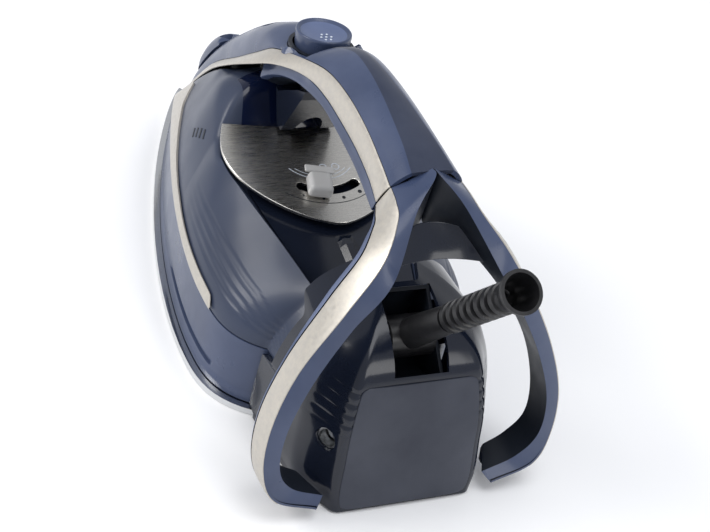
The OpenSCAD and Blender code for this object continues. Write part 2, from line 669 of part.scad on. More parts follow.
// ---------- rear fork ----------
// Rear outer edge, rear inner edge, band direction and front inner edge of one leg.
KO = [[-127.4, 16.1, 129.5], [-135, 17, 128.6], [-143, 19, 125.8], [-155.5, 28, 115.5], [-161, 42, 96],
  [-164, 57, 71], [-169, 65.6, 48], [-173, 66.6, 27], [-176.6, 60, 12.5], [-178, 41, 5.6]];
KI = [[-127.4, 0.3, 138.3], [-133, 1.2, 138], [-142, 10.8, 128.5], [-160, 24, 108.5], [-163, 38, 89],
  [-167, 51, 67], [-171, 59, 46], [-173.5, 59.5, 28], [-173.6, 52, 16], [-174, 37, 9.5]];
KW = [[0.24, 0.25, -0.94], [0.42, 0.40, -0.81], [0.58, 0.49, -0.65], [0.88, 0.36, -0.30],
  [0.98, 0.17, -0.07], [0.985, 0.02, -0.16], [0.98, 0.05, -0.17], [0.98, 0.03, -0.15],
  [0.99, 0.0, -0.05], [1, 0.02, 0.03]];
KJ = [[-127.4, 0.3, 117], [-131, 1.2, 113], [-134, 11, 111.5], [-144, 22, 103.5], [-148.5, 37, 87],
  [-152.5, 51, 66], [-156.5, 59, 44], [-159, 60, 27], [-159.5, 53, 16.5], [-160, 44, 11]];
function cr4(a, b, c, d, t) =
  0.5 * (2 * b + (c - a) * t + (2 * a - 5 * b + 4 * c - d) * t * t + (3 * b - a - 3 * c + d) * t * t * t);
function along(K, u) =
  let (n = len(K) - 1, i = min(n - 1, floor(u)), t = u - i)
  cr4(i > 0 ? K[i - 1] : 2 * K[0] - K[1], K[i], K[i + 1], i < n - 1 ? K[i + 2] : 2 * K[n] - K[n - 1], t);
function leg_w(u) = unit(along(KW, u));
function leg_t(u) = unit(along(KO, min(9, u + 0.05)) - along(KO, max(0, u - 0.05)));
// Outward direction of the bright band.
function leg_n(u) = let (c = cross(leg_w(u), leg_t(u))) unit(c);
function on_end_plane(p) = [-127.4 + 0.25 * (131 - p[2]), p[1], p[2]];
// Keeps the hook clear of the heel's side.
function clear_heel(p) =
  p[2] > 60 ? p : [p[0], max(p[1], 35.2 + max(0, min(20, p[0] + 176.3)) * 0.5), p[2]];
function leg_ring(u) =
  let (O = along(KO, u), w = leg_w(u), n = leg_n(u), S = O + (band_w + seam) * w, I = along(KI, u), J = along(KJ, u),
    F = lerp(S + 5 * unit(0.9 * w - 0.45 * n), J, 0.04),
    r = [O - 1.5 * n, S - 1.5 * n, S, F, J, lerp(I, J, 0.5), I])
  [for (p = r) P(u < 0.01 ? on_end_plane(p) : clear_heel(p))];
module leg(side) {
  color([0.27, 0.31, 0.4])
  left_right(side)
    loft([for (i = [0:44]) leg_ring(9 * i / 44)], 3);
}
module leg_band(side) {
  G = [for (i = [0:38]) let (u = 8.1 * i / 38, O = along(KO, u), w = leg_w(u), n = leg_n(u))
    [for (k = [0:3]) let (p = O + band_w * k / 3 * w) P(u < 0.01 ? on_end_plane(p) : clear_heel(p))]];
  color([0.78, 0.76, 0.73])
  left_right(side)
    sheet(G, 1.2);
}
module crotch_panel() {
  G = [for (i = [0:10]) let (u = 2.15 + 0.75 * i / 10, A = lerp(along(KI, u), along(KJ, u), 0.55),
      y = A[1] - 0.7)
    [for (k = [-4:4]) P([A[0] + 4 * (1 - pow(k / 4, 2)), y * k / 4, A[2]])]];
  color([0.08, 0.09, 0.12])
  sheet(G, 1.5);
}

// ---------- heel ----------
// [height, rear x, rear half width, corner x, corner half width, front half width, inner front half width]
TD = [[0.8, -176.9, 31, -157.4, 41.8, 45.8, 45.8], [10, -175.2, 32.5, -156, 43, 46.2, 46.2],
  [24, -172.4, 32, -153, 42.5, 46, 46], [38, -169.6, 31.5, -151, 42, 45, 45],
  [52, -165.8, 29.5, -148, 40, 41, 41], [62, -162.2, 27, -144, 37, 36, 36],
  [68, -157.5, 24, -140, 34, 33, 12], [74, -149.5, 19, -133, 28, 28, 2],
  [79, -140, 13, -126, 20, 20, 1], [83, -130.5, 7, -120, 11, 11, 0.5]];
heel_step = (sole_t + 0.1) / sz;
function dome_row(z) =
  let (q = tab(TD, z), f = -112.6 - 9 * (eased((z - 33) / 3) - eased((z - 61) / 7))
    - 5.2 * (1 - eased((z - heel_step) / 0.9)))
  [[f + 0.5, q[5]], [f, q[4]], [lerp(f, q[2], 0.5), lerp(q[4], q[3], 0.5) + 0.4], [q[2], q[3]],
   [lerp(q[2], q[0], 0.75), lerp(q[3], q[1], 0.72)], [q[0] + 0.3, q[1]], [q[0], q[1] - 3],
   [q[0], q[1] * 0.5], [q[0], 0]];
pivot = [-143, 0, 64.6];
module at_pivot() {
  translate(P(pivot))
    children();
}
module across(r, w) {
  rotate([90, 0, 0]) cylinder(r = r, h = w, center = true, $fn = 64);
}
screw_dir = unit([-0.484, 0.875, 0]);
module at_heel_screw() {
  translate(P([-163, 36, 31]))
    rotate([0, 90, atan2(screw_dir[1], screw_dir[0])])
      children();
}
module rear_housing() {
  G = [for (z = [0.8, heel_step, heel_step + 0.9, 10, 18, 26, 33, 36, 42, 50, 57, 61, 64.5, 68, 71, 74, 76.5, 79, 81, 83])
    [for (q = let (H = dome_row(z)) concat(H, [for (i = [len(H) - 2:-1:0]) [H[i][0], -H[i][1]]]))
      P([q[0], q[1], z])]];
  color([0.1, 0.12, 0.17])
  difference() {
    sheet(G, wall);
    at_pivot() across(20.3, 24.6);
    for (s = [1, -1]) left_right(s) at_heel_screw() cylinder(r = 5, h = 16, center = true, $fn = 40);
  }
}
module rear_panel() {
  G = [for (z = steps(2, 58, 10)) let (q = tab(TD, z))
    [for (k = [-4:4]) P([q[0] - 0.3, (q[1] - 2.5) * k / 4, z])]];
  color([0.31, 0.33, 0.37])
  sheet(G, 1.2);
}
module heel_base() {
  color([0.1, 0.11, 0.13])
  translate([0, 0, fz(3.8)])
    difference() {
      linear_extrude(2)
        polygon([for (p = [[-128.5, -39.5], [-128.5, 39.5], [-155, 38], [-172, 28], [-172, -28], [-155, -38]])
          [fx(p[0]), fy(p[1])]]);
      for (s = [-1, 1]) translate([fx(-136), s * fy(25), -1]) cylinder(r = 2, h = 4, $fn = 24);
    }
}
module heel_screws() {
  color([0.45, 0.46, 0.48])
  for (s = [1, -1]) left_right(s) at_heel_screw() {
    difference() {
      translate([0, 0, -9]) cylinder(r = 4.7, h = 8, $fn = 40);
      translate([0, 0, -8]) cylinder(r = 4, h = 10, $fn = 40);
    }
    difference() {
      translate([0, 0, -8]) cylinder(r = 3.2, h = 2.4, $fn = 32);
      for (a = [0, 90]) rotate([0, 0, a]) translate([-2.2, -0.4, -6.8]) cube([4.4, 0.8, 4]);
    }
  }
}
boot_ang = 39.3;
module boot_pocket() {
  color([0.13, 0.15, 0.2])
  at_pivot()
    difference() {
      across(19.8, 24);
      across(18.3, 21);
      across(4.06, 60);
      rotate([0, -boot_ang, 0]) translate([-40, -40, 5]) cube([80, 80, 60]);
      rotate([0, -boot_ang, 0]) translate([0, 0, -25]) cylinder(r = 4.5, h = 12, $fn = 32);
    }
}
module terminal_block() {
  color([0.9, 0.88, 0.82])
  translate([fx(-144), 0, fz(3.8) + 2.1])
    difference() {
      translate([-9, -14, 0]) cube([18, 28, 11]);
      for (k = [-1:1]) {
        translate([0, 9 * k, 4]) cylinder(r = 2.2, h = 12, $fn = 24);
        translate([0, 9 * k, 5]) rotate([0, 90, 0]) cylinder(r = 1.7, h = 40, center = true, $fn = 24);
      }
    }
}
module cord_clamp() {
  color([0.2, 0.2, 0.22])
  translate([fx(-134), 0, fz(30)])
    difference() {
      translate([-5, -11, -4]) cube([10, 22, 8]);
      cylinder(r = cord_r + 0.4, h = 40, center = true, $fn = 32);
      for (s = [-1, 1]) translate([0, s * 8, 0]) cylinder(r = 1.4, h = 40, center = true, $fn = 20);
    }
}
module cord_boot() {
  n = 8;
  z0 = 0.42 * boot_len;
  z1 = 0.88 * boot_len;
  rib = (z1 - z0) / n;
  outer = concat([[6.6, 2], [6.4, 0.2 * boot_len], [5.8, z0]],
    [for (i = [0:n - 1]) let (z = z0 + i * rib) each
      [[5.0, z + 0.1], [5.0, z + 0.4 * rib], [6.3, z + 0.45 * rib], [6.3, z + 0.95 * rib]]],
    [[5.6, z1], [6.2, z1 + 0.04 * boot_len], [mouth_r, boot_len - 1.5], [mouth_r, boot_len]]);
  inner = [[mouth_r - 1.4, boot_len], [cord_r + 1, z1], [cord_r, z1 - 10], [cord_r, 2]];
  color([0.07, 0.07, 0.07])
  at_pivot() rotate([0, -boot_ang, 0]) {
    difference() {
      rotate_extrude($fn = 48) polygon(concat(outer, inner));
      for (i = [0:n - 1]) for (a = [0, 90])
        rotate([0, 0, a + 45 * (i % 2)]) translate([-10, -1.6, z0 + (i + 0.08) * rib]) cube([20, 3.2, 0.3 * rib]);
    }
    difference() {
      union() {
        across(8.8, 20);
        across(4, 25);
      }
      translate([0, 0, -20]) cylinder(r = cord_r, h = 40, $fn = 48);
    }
  }
}

soleplate();
heating_casting();
heating_element();
chamber_gasket();
chamber_cover();
cover_screws();
thermostat();
thermal_fuse();
skirt();
waist_ring();
lower_trim(1);  // lower_trim_left
lower_trim(-1);  // lower_trim_right
water_tank();
tank_floor();
dosing_valve();
filler_neck();
hood_cover();
nose_cap();
spray_nozzle();
filler_door();
door_pin();
side_band(1);  // side_band_left
side_band(-1);  // side_band_right
handle_cover();
handle_liner();
front_pillar();
button_collar();
steam_button();
button_spring();
pump_piston();
pump_cylinder();
control_plate();
selector_knob();
selector_arm();
selector_shaft();
rear_deck();
leg(1);  // leg_left
leg(-1);  // leg_right
leg_band(1);  // leg_band_left
leg_band(-1);  // leg_band_right
crotch_panel();
rear_housing();
heel_base();
rear_panel();
boot_pocket();
heel_screws();
terminal_block();
cord_clamp();
cord_boot();
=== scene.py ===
import math

import bmesh
import bpy
from mathutils import Matrix, Vector


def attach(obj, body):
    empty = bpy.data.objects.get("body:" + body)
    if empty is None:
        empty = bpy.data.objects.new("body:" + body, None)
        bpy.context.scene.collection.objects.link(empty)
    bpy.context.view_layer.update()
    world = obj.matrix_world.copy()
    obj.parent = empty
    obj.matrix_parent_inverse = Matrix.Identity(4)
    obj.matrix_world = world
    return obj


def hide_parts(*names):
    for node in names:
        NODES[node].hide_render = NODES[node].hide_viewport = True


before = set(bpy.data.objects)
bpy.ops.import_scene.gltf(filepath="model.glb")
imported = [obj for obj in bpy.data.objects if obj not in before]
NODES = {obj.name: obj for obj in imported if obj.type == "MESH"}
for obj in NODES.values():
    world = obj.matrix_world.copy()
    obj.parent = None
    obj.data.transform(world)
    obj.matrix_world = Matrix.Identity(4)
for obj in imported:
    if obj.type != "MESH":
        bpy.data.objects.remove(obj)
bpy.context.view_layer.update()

bl_info = {
    "name": "Steam iron",
    "version": (1, 0, 0),
    "blender": (4, 5, 0),
    "location": "3D View > Sidebar > Steam iron",
    "description": "Builds the shells, bands, fork, heel and controls of a steam iron round its packed frame",
    "category": "Add Mesh",
}

MM = 0.001


# ---------------------------------------------------------------- numbers and curves
def lerp(a, b, t):
    return a + (b - a) * t


def clamp(t):
    return max(0.0, min(1.0, t))


def eased(t):
    k = clamp(t)
    return k * k * (3 - 2 * k)


def steps(a, b, n):
    return [a + (b - a) * i / n for i in range(n + 1)]


def on_line(table, x):
    """Values of a station table at x, on smooth curves through its stations."""
    n = len(table)
    i = 0
    while i < n - 2 and x >= table[i + 1][0]:
        i += 1
    h = table[i + 1][0] - table[i][0]
    t = (x - table[i][0]) / h

    def slope(j, k):
        a, b = max(j - 1, 0), min(j + 1, n - 1)
        return (table[b][k] - table[a][k]) / (table[b][0] - table[a][0])

    return [
        (2 * t**3 - 3 * t * t + 1) * table[i][k] + (t**3 - 2 * t * t + t) * slope(i, k) * h
        + (3 * t * t - 2 * t**3) * table[i + 1][k] + (t**3 - t * t) * slope(i + 1, k) * h
        for k in range(1, len(table[0]))
    ]


def between(p0, p1, p2, p3, t):
    return 0.5 * (2 * p1 + (p2 - p0) * t + (2 * p0 - 5 * p1 + 4 * p2 - p3) * t * t
                  + (3 * p1 - p0 - 3 * p2 + p3) * t**3)


def along(keys, u):
    """Point at u of the smooth curve through the key points."""
    n = len(keys) - 1
    i = min(n - 1, int(u))
    k = [Vector(p) for p in keys]
    first = k[i - 1] if i > 0 else 2 * k[0] - k[1]
    last = k[i + 2] if i < n - 1 else 2 * k[n] - k[n - 1]
    return between(first, k[i], k[i + 1], last, u - i)


def smooth_run(points, per):
    """A finer run of points along the smooth curve through the given ones."""
    n = len(points) - 1
    size = len(points[0])
    pts = [tuple(p) + (0.0,) * (3 - size) for p in points]
    return [tuple(along(pts, i / per))[:size] for i in range(n * per + 1)]


# ---------------------------------------------------------------- lines of the body, in millimetres
BAND_TOP = [(-127, 16.1, 129.5), (-114, 15, 131.5), (-93, 13.8, 134.4), (-72, 13.3, 135.2),
            (-52, 13.8, 133.3), (-33, 16.3, 127.4), (-8, 18, 116), (5, 18, 106), (25, 17, 90),
            (62, 12, 62), (81, 10, 42), (92, 8.4, 30), (102, 5.5, 18)]
BAND_LOW = [(-127, 19.1, 120.2), (-113, 17.2, 122.1), (-93, 15.7, 123.7), (-72, 15.2, 124.5),
            (-59, 15.4, 124.8), (-46, 16.4, 124), (-33, 19, 121), (-18, 23, 114.7),
            (-3, 25.6, 105), (17, 25.3, 91.4), (45, 21, 70.4), (74, 14.8, 44.3), (92, 11, 25),
            (102, 7.6, 12)]
GRIP_EDGE = [(-127, 19.4, 115.7), (-107, 17.7, 117.8), (-93, 16.7, 118.7), (-73, 16.2, 120),
             (-58, 16.3, 120.5), (-39, 17.6, 117.4), (-29, 18.7, 113.4), (-18, 20.6, 106.5),
             (-3, 23, 95)]
RIDGE = [(-127, 9.4, 136.8), (-114, 7.7, 139.7), (-98, 6, 141.9), (-85, 4.8, 143.2),
         (-71, 3.7, 143.6), (-58, 3, 142.9), (-50, 2.8, 141.2), (-42, 3.2, 137.6),
         (-34, 4.5, 132.5)]
CREST = [(-34, 124.5), (-17, 122), (2, 120), (11, 117), (27, 106.5), (46, 90.5), (70, 68),
         (84, 51), (94, 36), (102, 22)]
FLANK_TOP = [(-122, 24, 61), (-110, 27, 63.5), (-80, 33.5, 68), (-60, 38, 70.4), (-46, 40.8, 72),
             (-38, 43, 73.7), (-26, 43, 76), (-16, 38.6, 78)]
TRIM_TOP = [(-84, 0.14), (-78, 0.17), (-40, 0.165), (0, 0.19), (10, 0.21), (20, 0.27), (30, 0.36),
            (40, 0.48), (46, 0.57), (52, 0.78), (58, 0.97), (86, 0.97)]
HEEL = [(0.8, -176.9, 31, -157.4, 41.8, 45.8), (10, -175.2, 32.5, -156, 43, 46.2),
        (24, -172.4, 32, -153, 42.5, 46), (38, -169.6, 31.5, -151, 42, 45),
        (52, -165.8, 29.5, -148, 40, 41), (62, -162.2, 27, -144, 37, 36),
        (68, -157.5, 24, -140, 34, 33), (74, -149.5, 19, -133, 28, 28),
        (79, -140, 13, -126, 20, 20), (83, -130.5, 7, -120, 11, 11)]
LEG_OUT = [(-127.4, 16.1, 129.5), (-135, 17, 128.6), (-143, 19, 125.8), (-155.5, 28, 115.5),
           (-161, 42, 96), (-164, 57, 71), (-169, 65.6, 48), (-173, 66.6, 27), (-176.6, 60, 12.5),
           (-178, 41, 5.6)]
LEG_IN = [(-127.4, 0.3, 138.3), (-133, 1.2, 138), (-142, 10.8, 128.5), (-160, 24, 108.5),
          (-163, 38, 89), (-167, 51, 67), (-171, 59, 46), (-173.5, 59.5, 28), (-173.6, 52, 16),
          (-174, 37, 9.5)]
LEG_ACROSS = [(0.24, 0.25, -0.94), (0.42, 0.40, -0.81), (0.58, 0.49, -0.65), (0.88, 0.36, -0.30),
              (0.98, 0.17, -0.07), (0.985, 0.02, -0.16), (0.98, 0.05, -0.17), (0.98, 0.03, -0.15),
              (0.99, 0.0, -0.05), (1, 0.02, 0.03)]
LEG_FRONT = [(-127.4, 0.3, 117), (-131, 1.2, 113), (-134, 11, 111.5), (-144, 22, 103.5),
             (-148.5, 37, 87), (-152.5, 51, 66), (-156.5, 59, 44), (-159, 60, 27),
             (-159.5, 53, 16.5), (-160, 44, 11)]


def half_w(x, d):
    """Half width of the soleplate outline drawn in by d."""
    w, xf, xr = 64 - d, 126 - 1.7 * d, -126 + d
    if x > -70:
        return w * max(0.0, 1 - ((x + 70) / (xf + 70)) ** 1.6) ** 0.88
    return w * max(0.0, 1 - ((-70 - x) / (-70 - xr)) ** 3.4) ** 0.5


def body_pt(x, y, z):
    """A point of the handle, whose end plane leans forward going down."""
    return (x + 0.25 * (131 - z) * clamp((-95 - x) / 32), y, z)


def base_z(x):
    return 34.4 - 3 * clamp((x - 40) / 30) - 7 * clamp((x - 70) / 20)


def plate_z(x):
    return 80 + 0.2 * (x + 18)


def flank(x, s):
    z0 = base_z(x)
    y0 = max(half_w(x, 4.6), 43 if x < -105 else 0)
    if x > -15:
        u = on_line(BAND_LOW, max(x, -3))
        w, t = eased((x + 13) / 33), 0.84 * s
        return (lerp(lerp(y0, 38.6, s**1.75), lerp(y0, u[0], t**1.75), w),
                lerp(lerp(z0, 79, s), lerp(z0, u[1] - 0.9, t), w))
    f = on_line(FLANK_TOP, x)
    return (lerp(y0, f[0], s**1.75), lerp(z0, f[1], s))


def leg_out_dir(u):
    across = along(LEG_ACROSS, u).normalized()
    run = (along(LEG_OUT, min(9, u + 0.05)) - along(LEG_OUT, max(0, u - 0.05))).normalized()
    return across.cross(run).normalized()


def clear_heel(p):
    """Keeps the hook clear of the heel's side."""
    if p[2] > 60:
        return Vector(p)
    return Vector((p[0], max(p[1], 35.2 + max(0, min(20, p[0] + 176.3)) * 0.5), p[2]))


def leg_pt(p, u):
    if u < 0.01:
        return Vector((-127.4 + 0.25 * (131 - p[2]), p[1], p[2]))
    return clear_heel(p)


# places and sizes that more than one piece shares, in millimetres and degrees
PIVOT = Vector((-143, 0, 64.6))
PLATE_AT = (-30, 0, 77.6)
PLATE_TILT = math.atan(0.2)
SLOT_RADIUS, SLOT_HALF, SLOT_ANGLE = 26, 2.2, 30
SELECTOR_REST = 13
BUTTON_AT = (-17, 0, 118)
BUTTON_TILT = math.radians(6)
BUTTON_HOLE = 15
DOOR_REAR, DOOR_FRONT, DOOR_HALF = 24, 68, 9.05
SPRAY_AT = (83, 0, 52)
SPRAY_TILT = math.radians(60)
LEG_BAND = 11.3
GROOVES = (0.33, 0.42, 0.51, 0.6)
FLOOR = 6000


# ---------------------------------------------------------------- materials
class Nodes:
    """Short hand for wiring a material."""

    def __init__(self, name):
        self.m = bpy.data.materials.new(name)
        self.m.use_nodes = True
        self.t = self.m.node_tree
        self.shader = self.t.nodes["Principled BSDF"]
        self.place = self.t.nodes.new("ShaderNodeTexCoord").outputs["Object"]

    def add(self, kind, **values):
        n = self.t.nodes.new(kind)
        for k, v in values.items():
            setattr(n, k, v)
        return n

    def link(self, a, b):
        self.t.links.new(a, b)

    def stretched(self, size):
        n = self.add("ShaderNodeMapping")
        n.inputs["Scale"].default_value = size
        self.link(self.place, n.inputs["Vector"])
        return n.outputs["Vector"]

    def noise(self, scale, detail=3.0, rough=0.5, stretch=(1, 1, 1)):
        n = self.add("ShaderNodeTexNoise")
        n.inputs["Scale"].default_value = scale
        n.inputs["Detail"].default_value = detail
        n.inputs["Roughness"].default_value = rough
        self.link(self.stretched(stretch), n.inputs["Vector"])
        return n.outputs["Fac"]

    def spread(self, value, low, high, a, b):
        n = self.add("ShaderNodeMapRange")
        n.inputs["From Min"].default_value = low
        n.inputs["From Max"].default_value = high
        n.inputs["To Min"].default_value = a
        n.inputs["To Max"].default_value = b
        self.link(value, n.inputs["Value"])
        return n.outputs["Result"]

    def mix(self, fac, a, b):
        n = self.add("ShaderNodeMix", data_type="RGBA")
        self.link(fac, n.inputs["Factor"])
        for v, s in ((a, n.inputs[6]), (b, n.inputs[7])):
            if isinstance(v, (tuple, list)):
                s.default_value = (*v[:3], 1)
            else:
                self.link(v, s)
        return n.outputs[2]

    def bump(self, layers):
        last = None
        for height, strength, distance in layers:
            n = self.add("ShaderNodeBump")
            n.inputs["Strength"].default_value = strength
            n.inputs["Distance"].default_value = distance
            self.link(height, n.inputs["Height"])
            if last:
                self.link(last, n.inputs["Normal"])
            last = n.outputs["Normal"]
        self.link(last, self.shader.inputs["Normal"])


def plastic(name, colour, rough=0.3, coat=0.0, grain=0.06, dust=0.02, depth=0.12, sheen=0.0):
    """Moulded plastic: faint colour drift, fine spark texture, worn roughness."""
    n = Nodes(name)
    dark = tuple(c * (1 - depth) for c in colour)
    light = tuple(min(1, c * (1 + depth) + dust) for c in colour)
    tone = n.spread(n.noise(28, 4, 0.55), 0.3, 0.7, 0, 1)
    n.link(n.mix(tone, dark, light), n.shader.inputs["Base Color"])
    wear = n.spread(n.noise(60, 5, 0.6), 0.3, 0.75, rough * 0.85, rough * 1.3)
    n.link(wear, n.shader.inputs["Roughness"])
    n.bump([(n.noise(2600, 2, 0.5), grain, 0.00005), (n.noise(90, 3, 0.4), 0.05, 0.0002)])
    n.shader.inputs["Specular IOR Level"].default_value = 0.34
    n.shader.inputs["Coat Weight"].default_value = coat * 0.4
    n.shader.inputs["Coat Roughness"].default_value = 0.1
    n.shader.inputs["Sheen Weight"].default_value = sheen
    return n.m


def satin_metal(name, colour, rough=0.34, metallic=0.75, stretch=(1, 1, 1), grain=0.1):
    """Satin lacquered metal finish with a fine grain."""
    n = Nodes(name)
    cold = tuple(c * 0.9 for c in colour)
    warm = (min(1, colour[0] * 1.06), min(1, colour[1] * 1.04), min(1, colour[2] * 1.0))
    tone = n.spread(n.noise(420, 6, 0.7, stretch), 0.32, 0.68, 0, 1)
    n.link(n.mix(tone, cold, warm), n.shader.inputs["Base Color"])
    wear = n.spread(n.noise(700, 4, 0.6, stretch), 0.3, 0.7, rough * 0.8, rough * 1.3)
    n.link(wear, n.shader.inputs["Roughness"])
    n.bump([(n.noise(3200, 3, 0.6, stretch), grain, 0.00004), (n.noise(60, 2, 0.5), 0.03, 0.0002)])
    n.shader.inputs["Metallic"].default_value = metallic
    return n.m


def tinted_tank(name, colour):
    """Tinted clear plastic seen against a dark inside: deep colour drift under a clear gloss."""
    n = Nodes(name)
    deep = tuple(c * 0.78 for c in colour)
    pale = (colour[0] * 1.12, colour[1] * 1.12, colour[2] * 1.1)
    base = n.mix(n.spread(n.noise(14, 3, 0.5, (1, 1, 0.6)), 0.32, 0.68, 0, 1), deep, pale)
    n.link(base, n.shader.inputs["Base Color"])
    n.link(n.spread(n.noise(45, 4, 0.5), 0.3, 0.7, 0.34, 0.46), n.shader.inputs["Roughness"])
    n.bump([(n.noise(1500, 2, 0.5), 0.03, 0.00005), (n.noise(40, 2, 0.4), 0.04, 0.0003)])
    n.shader.inputs["Specular IOR Level"].default_value = 0.3
    n.shader.inputs["Coat Weight"].default_value = 0.12
    n.shader.inputs["Coat Roughness"].default_value = 0.15
    return n.m


def brushed(name, colour, rough=0.25, metallic=1.0):
    """Brushed sheet metal: hair lines across the nose-to-heel line."""
    n = Nodes(name)
    line = n.noise(90, 8, 0.75, (30, 1.0, 30))
    dark = tuple(c * 0.86 for c in colour)
    n.link(n.mix(n.spread(line, 0.3, 0.7, 0, 1), dark, colour), n.shader.inputs["Base Color"])
    n.link(n.spread(line, 0.3, 0.7, rough * 0.75, rough * 1.35), n.shader.inputs["Roughness"])
    n.bump([(line, 0.08, 0.00005), (n.noise(30, 2, 0.4), 0.03, 0.0003)])
    n.shader.inputs["Metallic"].default_value = metallic
    return n.m


def rubber(name, colour):
    """Matt rubber with a fine pitted skin."""
    n = Nodes(name)
    worn = tuple(c * 1.7 + 0.002 for c in colour)
    tone = n.spread(n.noise(120, 5, 0.6), 0.35, 0.7, 0, 1)
    n.link(n.mix(tone, colour, worn), n.shader.inputs["Base Color"])
    n.link(n.spread(n.noise(200, 4, 0.6), 0.3, 0.7, 0.28, 0.45), n.shader.inputs["Roughness"])
    n.bump([(n.noise(1800, 3, 0.6), 0.15, 0.00006)])
    return n.m


# ---------------------------------------------------------------- mesh making
def finish_mesh(o, mats, body, nodes=(), bevel=0.0, thick=0.0, angle=35, segments=2):
    """Gives a new mesh its materials, wall, rounded edges and place on its body."""
    for m in mats:
        o.data.materials.append(m)
    for p in o.data.polygons:
        p.use_smooth = True
    if thick:
        s = o.modifiers.new("wall", "SOLIDIFY")
        s.thickness = thick * MM
        s.offset = -1
        s.use_even_offset = True
        s.thickness_clamp = 1.2
    if bevel:
        b = o.modifiers.new("rounded edges", "BEVEL")
        b.width = bevel * MM
        b.segments = segments
        b.limit_method = "ANGLE"
        b.angle_limit = math.radians(angle)
        b.use_clamp_overlap = True
        w = o.modifiers.new("even shading", "WEIGHTED_NORMAL")
        w.keep_sharp = True
    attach(o, body)
    if nodes:
        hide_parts(*nodes)
    return o


def make_object(name, verts, faces, which=None):
    me = bpy.data.meshes.new(name)
    me.from_pydata([Vector(v) * MM for v in verts], [], faces)
    if which:
        for p, k in zip(me.polygons, which):
            p.material_index = k
    me.validate()
    me.update()
    o = bpy.data.objects.new(name, me)
    bpy.context.collection.objects.link(o)
    return o


def turned_out(verts, faces, inside):
    """True if the faces look away from the point that inside gives for each of them."""
    total = 0.0
    for f in faces:
        a, b, c = (Vector(verts[f[k]]) for k in (0, 1, 2))
        mid = (a + b + c) / 3
        total += (b - a).cross(c - a).dot(mid - Vector(inside(mid)))
    return total > 0


def grid(name, rows, inside, pick=None, wrap=False, caps=False):
    """Mesh on a grid of points, its faces turned away from the inside."""
    n, m = len(rows), len(rows[0])
    verts = [p for r in rows for p in r]
    faces, which = [], []
    for i in range(n - 1):
        for j in range(m if wrap else m - 1):
            k = (j + 1) % m
            faces.append((i * m + j, (i + 1) * m + j, (i + 1) * m + k, i * m + k))
            which.append(pick(i, j) if pick else 0)
    if not turned_out(verts, faces, inside):
        faces = [f[::-1] for f in faces]
        up = False
    else:
        up = True
    if caps:
        first, last = tuple(range(m)), tuple((n - 1) * m + j for j in range(m))
        faces += [first if up else first[::-1], last[::-1] if up else last]
        which += [which[0], which[-1]]
    return make_object(name, verts, faces, which)


def mirrored(rows, side):
    return rows if side > 0 else [[(p[0], -p[1], p[2]) for p in r] for r in rows]


def use_modifiers(o):
    """Applies all modifiers of an object that isn't yet on a body."""
    bpy.context.view_layer.update()
    me = bpy.data.meshes.new_from_object(o.evaluated_get(bpy.context.evaluated_depsgraph_get()))
    old = o.data
    o.modifiers.clear()
    o.data = me
    me.name = old.name
    bpy.data.meshes.remove(old)


def lathe(name, profile, seg=64):
    """Turned solid round Z from (radius, height) points; radius 0 ends close it."""
    verts, faces = [], []
    ring = []
    for r, z in profile:
        if r < 1e-6:
            verts.append((0, 0, z))
            ring.append([len(verts) - 1])
        else:
            ring.append([len(verts) + i for i in range(seg)])
            turn = 2 * math.pi / seg
            verts += [(r * math.cos(turn * i), r * math.sin(turn * i), z) for i in range(seg)]
    for a, b in zip(ring, ring[1:]):
        for i in range(seg):
            j = (i + 1) % seg
            if len(a) == 1 and len(b) == 1:
                continue
            if len(a) == 1:
                faces.append((a[0], b[j], b[i]))
            elif len(b) == 1:
                faces.append((a[i], a[j], b[0]))
            else:
                faces.append((a[i], a[j], b[j], b[i]))
    return make_object(name, verts, faces)


def block(name, size, at=(0, 0, 0), bevel=0.0, segments=3):
    """Rounded block, in millimetres."""
    bm = bmesh.new()
    bmesh.ops.create_cube(bm, size=1)
    for v in bm.verts:
        v.co = Vector((v.co.x * size[0] + at[0], v.co.y * size[1] + at[1], v.co.z * size[2] + at[2])) * MM
    if bevel:
        bmesh.ops.bevel(
            bm, geom=bm.edges[:], offset=bevel * MM, segments=segments, profile=0.5, affect="EDGES")
    me = bpy.data.meshes.new(name)
    bm.to_mesh(me)
    bm.free()
    o = bpy.data.objects.new(name, me)
    bpy.context.collection.objects.link(o)
    return o


def moved(o, matrix):
    o.data.transform(matrix)
    o.data.update()
    return o


def cut(o, tools):
    """Cuts the tools out of o and removes them."""
    for t in tools:
        b = o.modifiers.new("cut", "BOOLEAN")
        b.object = t
        b.operation = "DIFFERENCE"
        b.solver = "EXACT"
    use_modifiers(o)
    for t in tools:
        bpy.data.objects.remove(t, do_unlink=True)


def place(x, y, z, about_y=0.0, about_z=0.0):
    """Matrix for a piece drawn round the origin, turned and moved, in millimetres."""
    return (Matrix.Translation(Vector((x, y, z)) * MM) @ Matrix.Rotation(about_y, 4, "Y")
            @ Matrix.Rotation(about_z, 4, "Z"))


def joined(name, objects):
    """One object from several, their meshes as they stand."""
    bm = bmesh.new()
    mats = []
    for o in objects:
        start = len(bm.faces)
        bm.from_mesh(o.data)
        bm.faces.ensure_lookup_table()
        for k in range(start, len(bm.faces)):
            f = bm.faces[k]
            m = o.data.materials[f.material_index] if o.data.materials else None
            if m and m not in mats:
                mats.append(m)
            f.material_index = mats.index(m) if m else 0
    me = bpy.data.meshes.new(name)
    bm.to_mesh(me)
    bm.free()
    o = bpy.data.objects.new(name, me)
    bpy.context.collection.objects.link(o)
    for m in mats:
        me.materials.append(m)
    for old in objects:
        bpy.data.objects.remove(old, do_unlink=True)
    return o


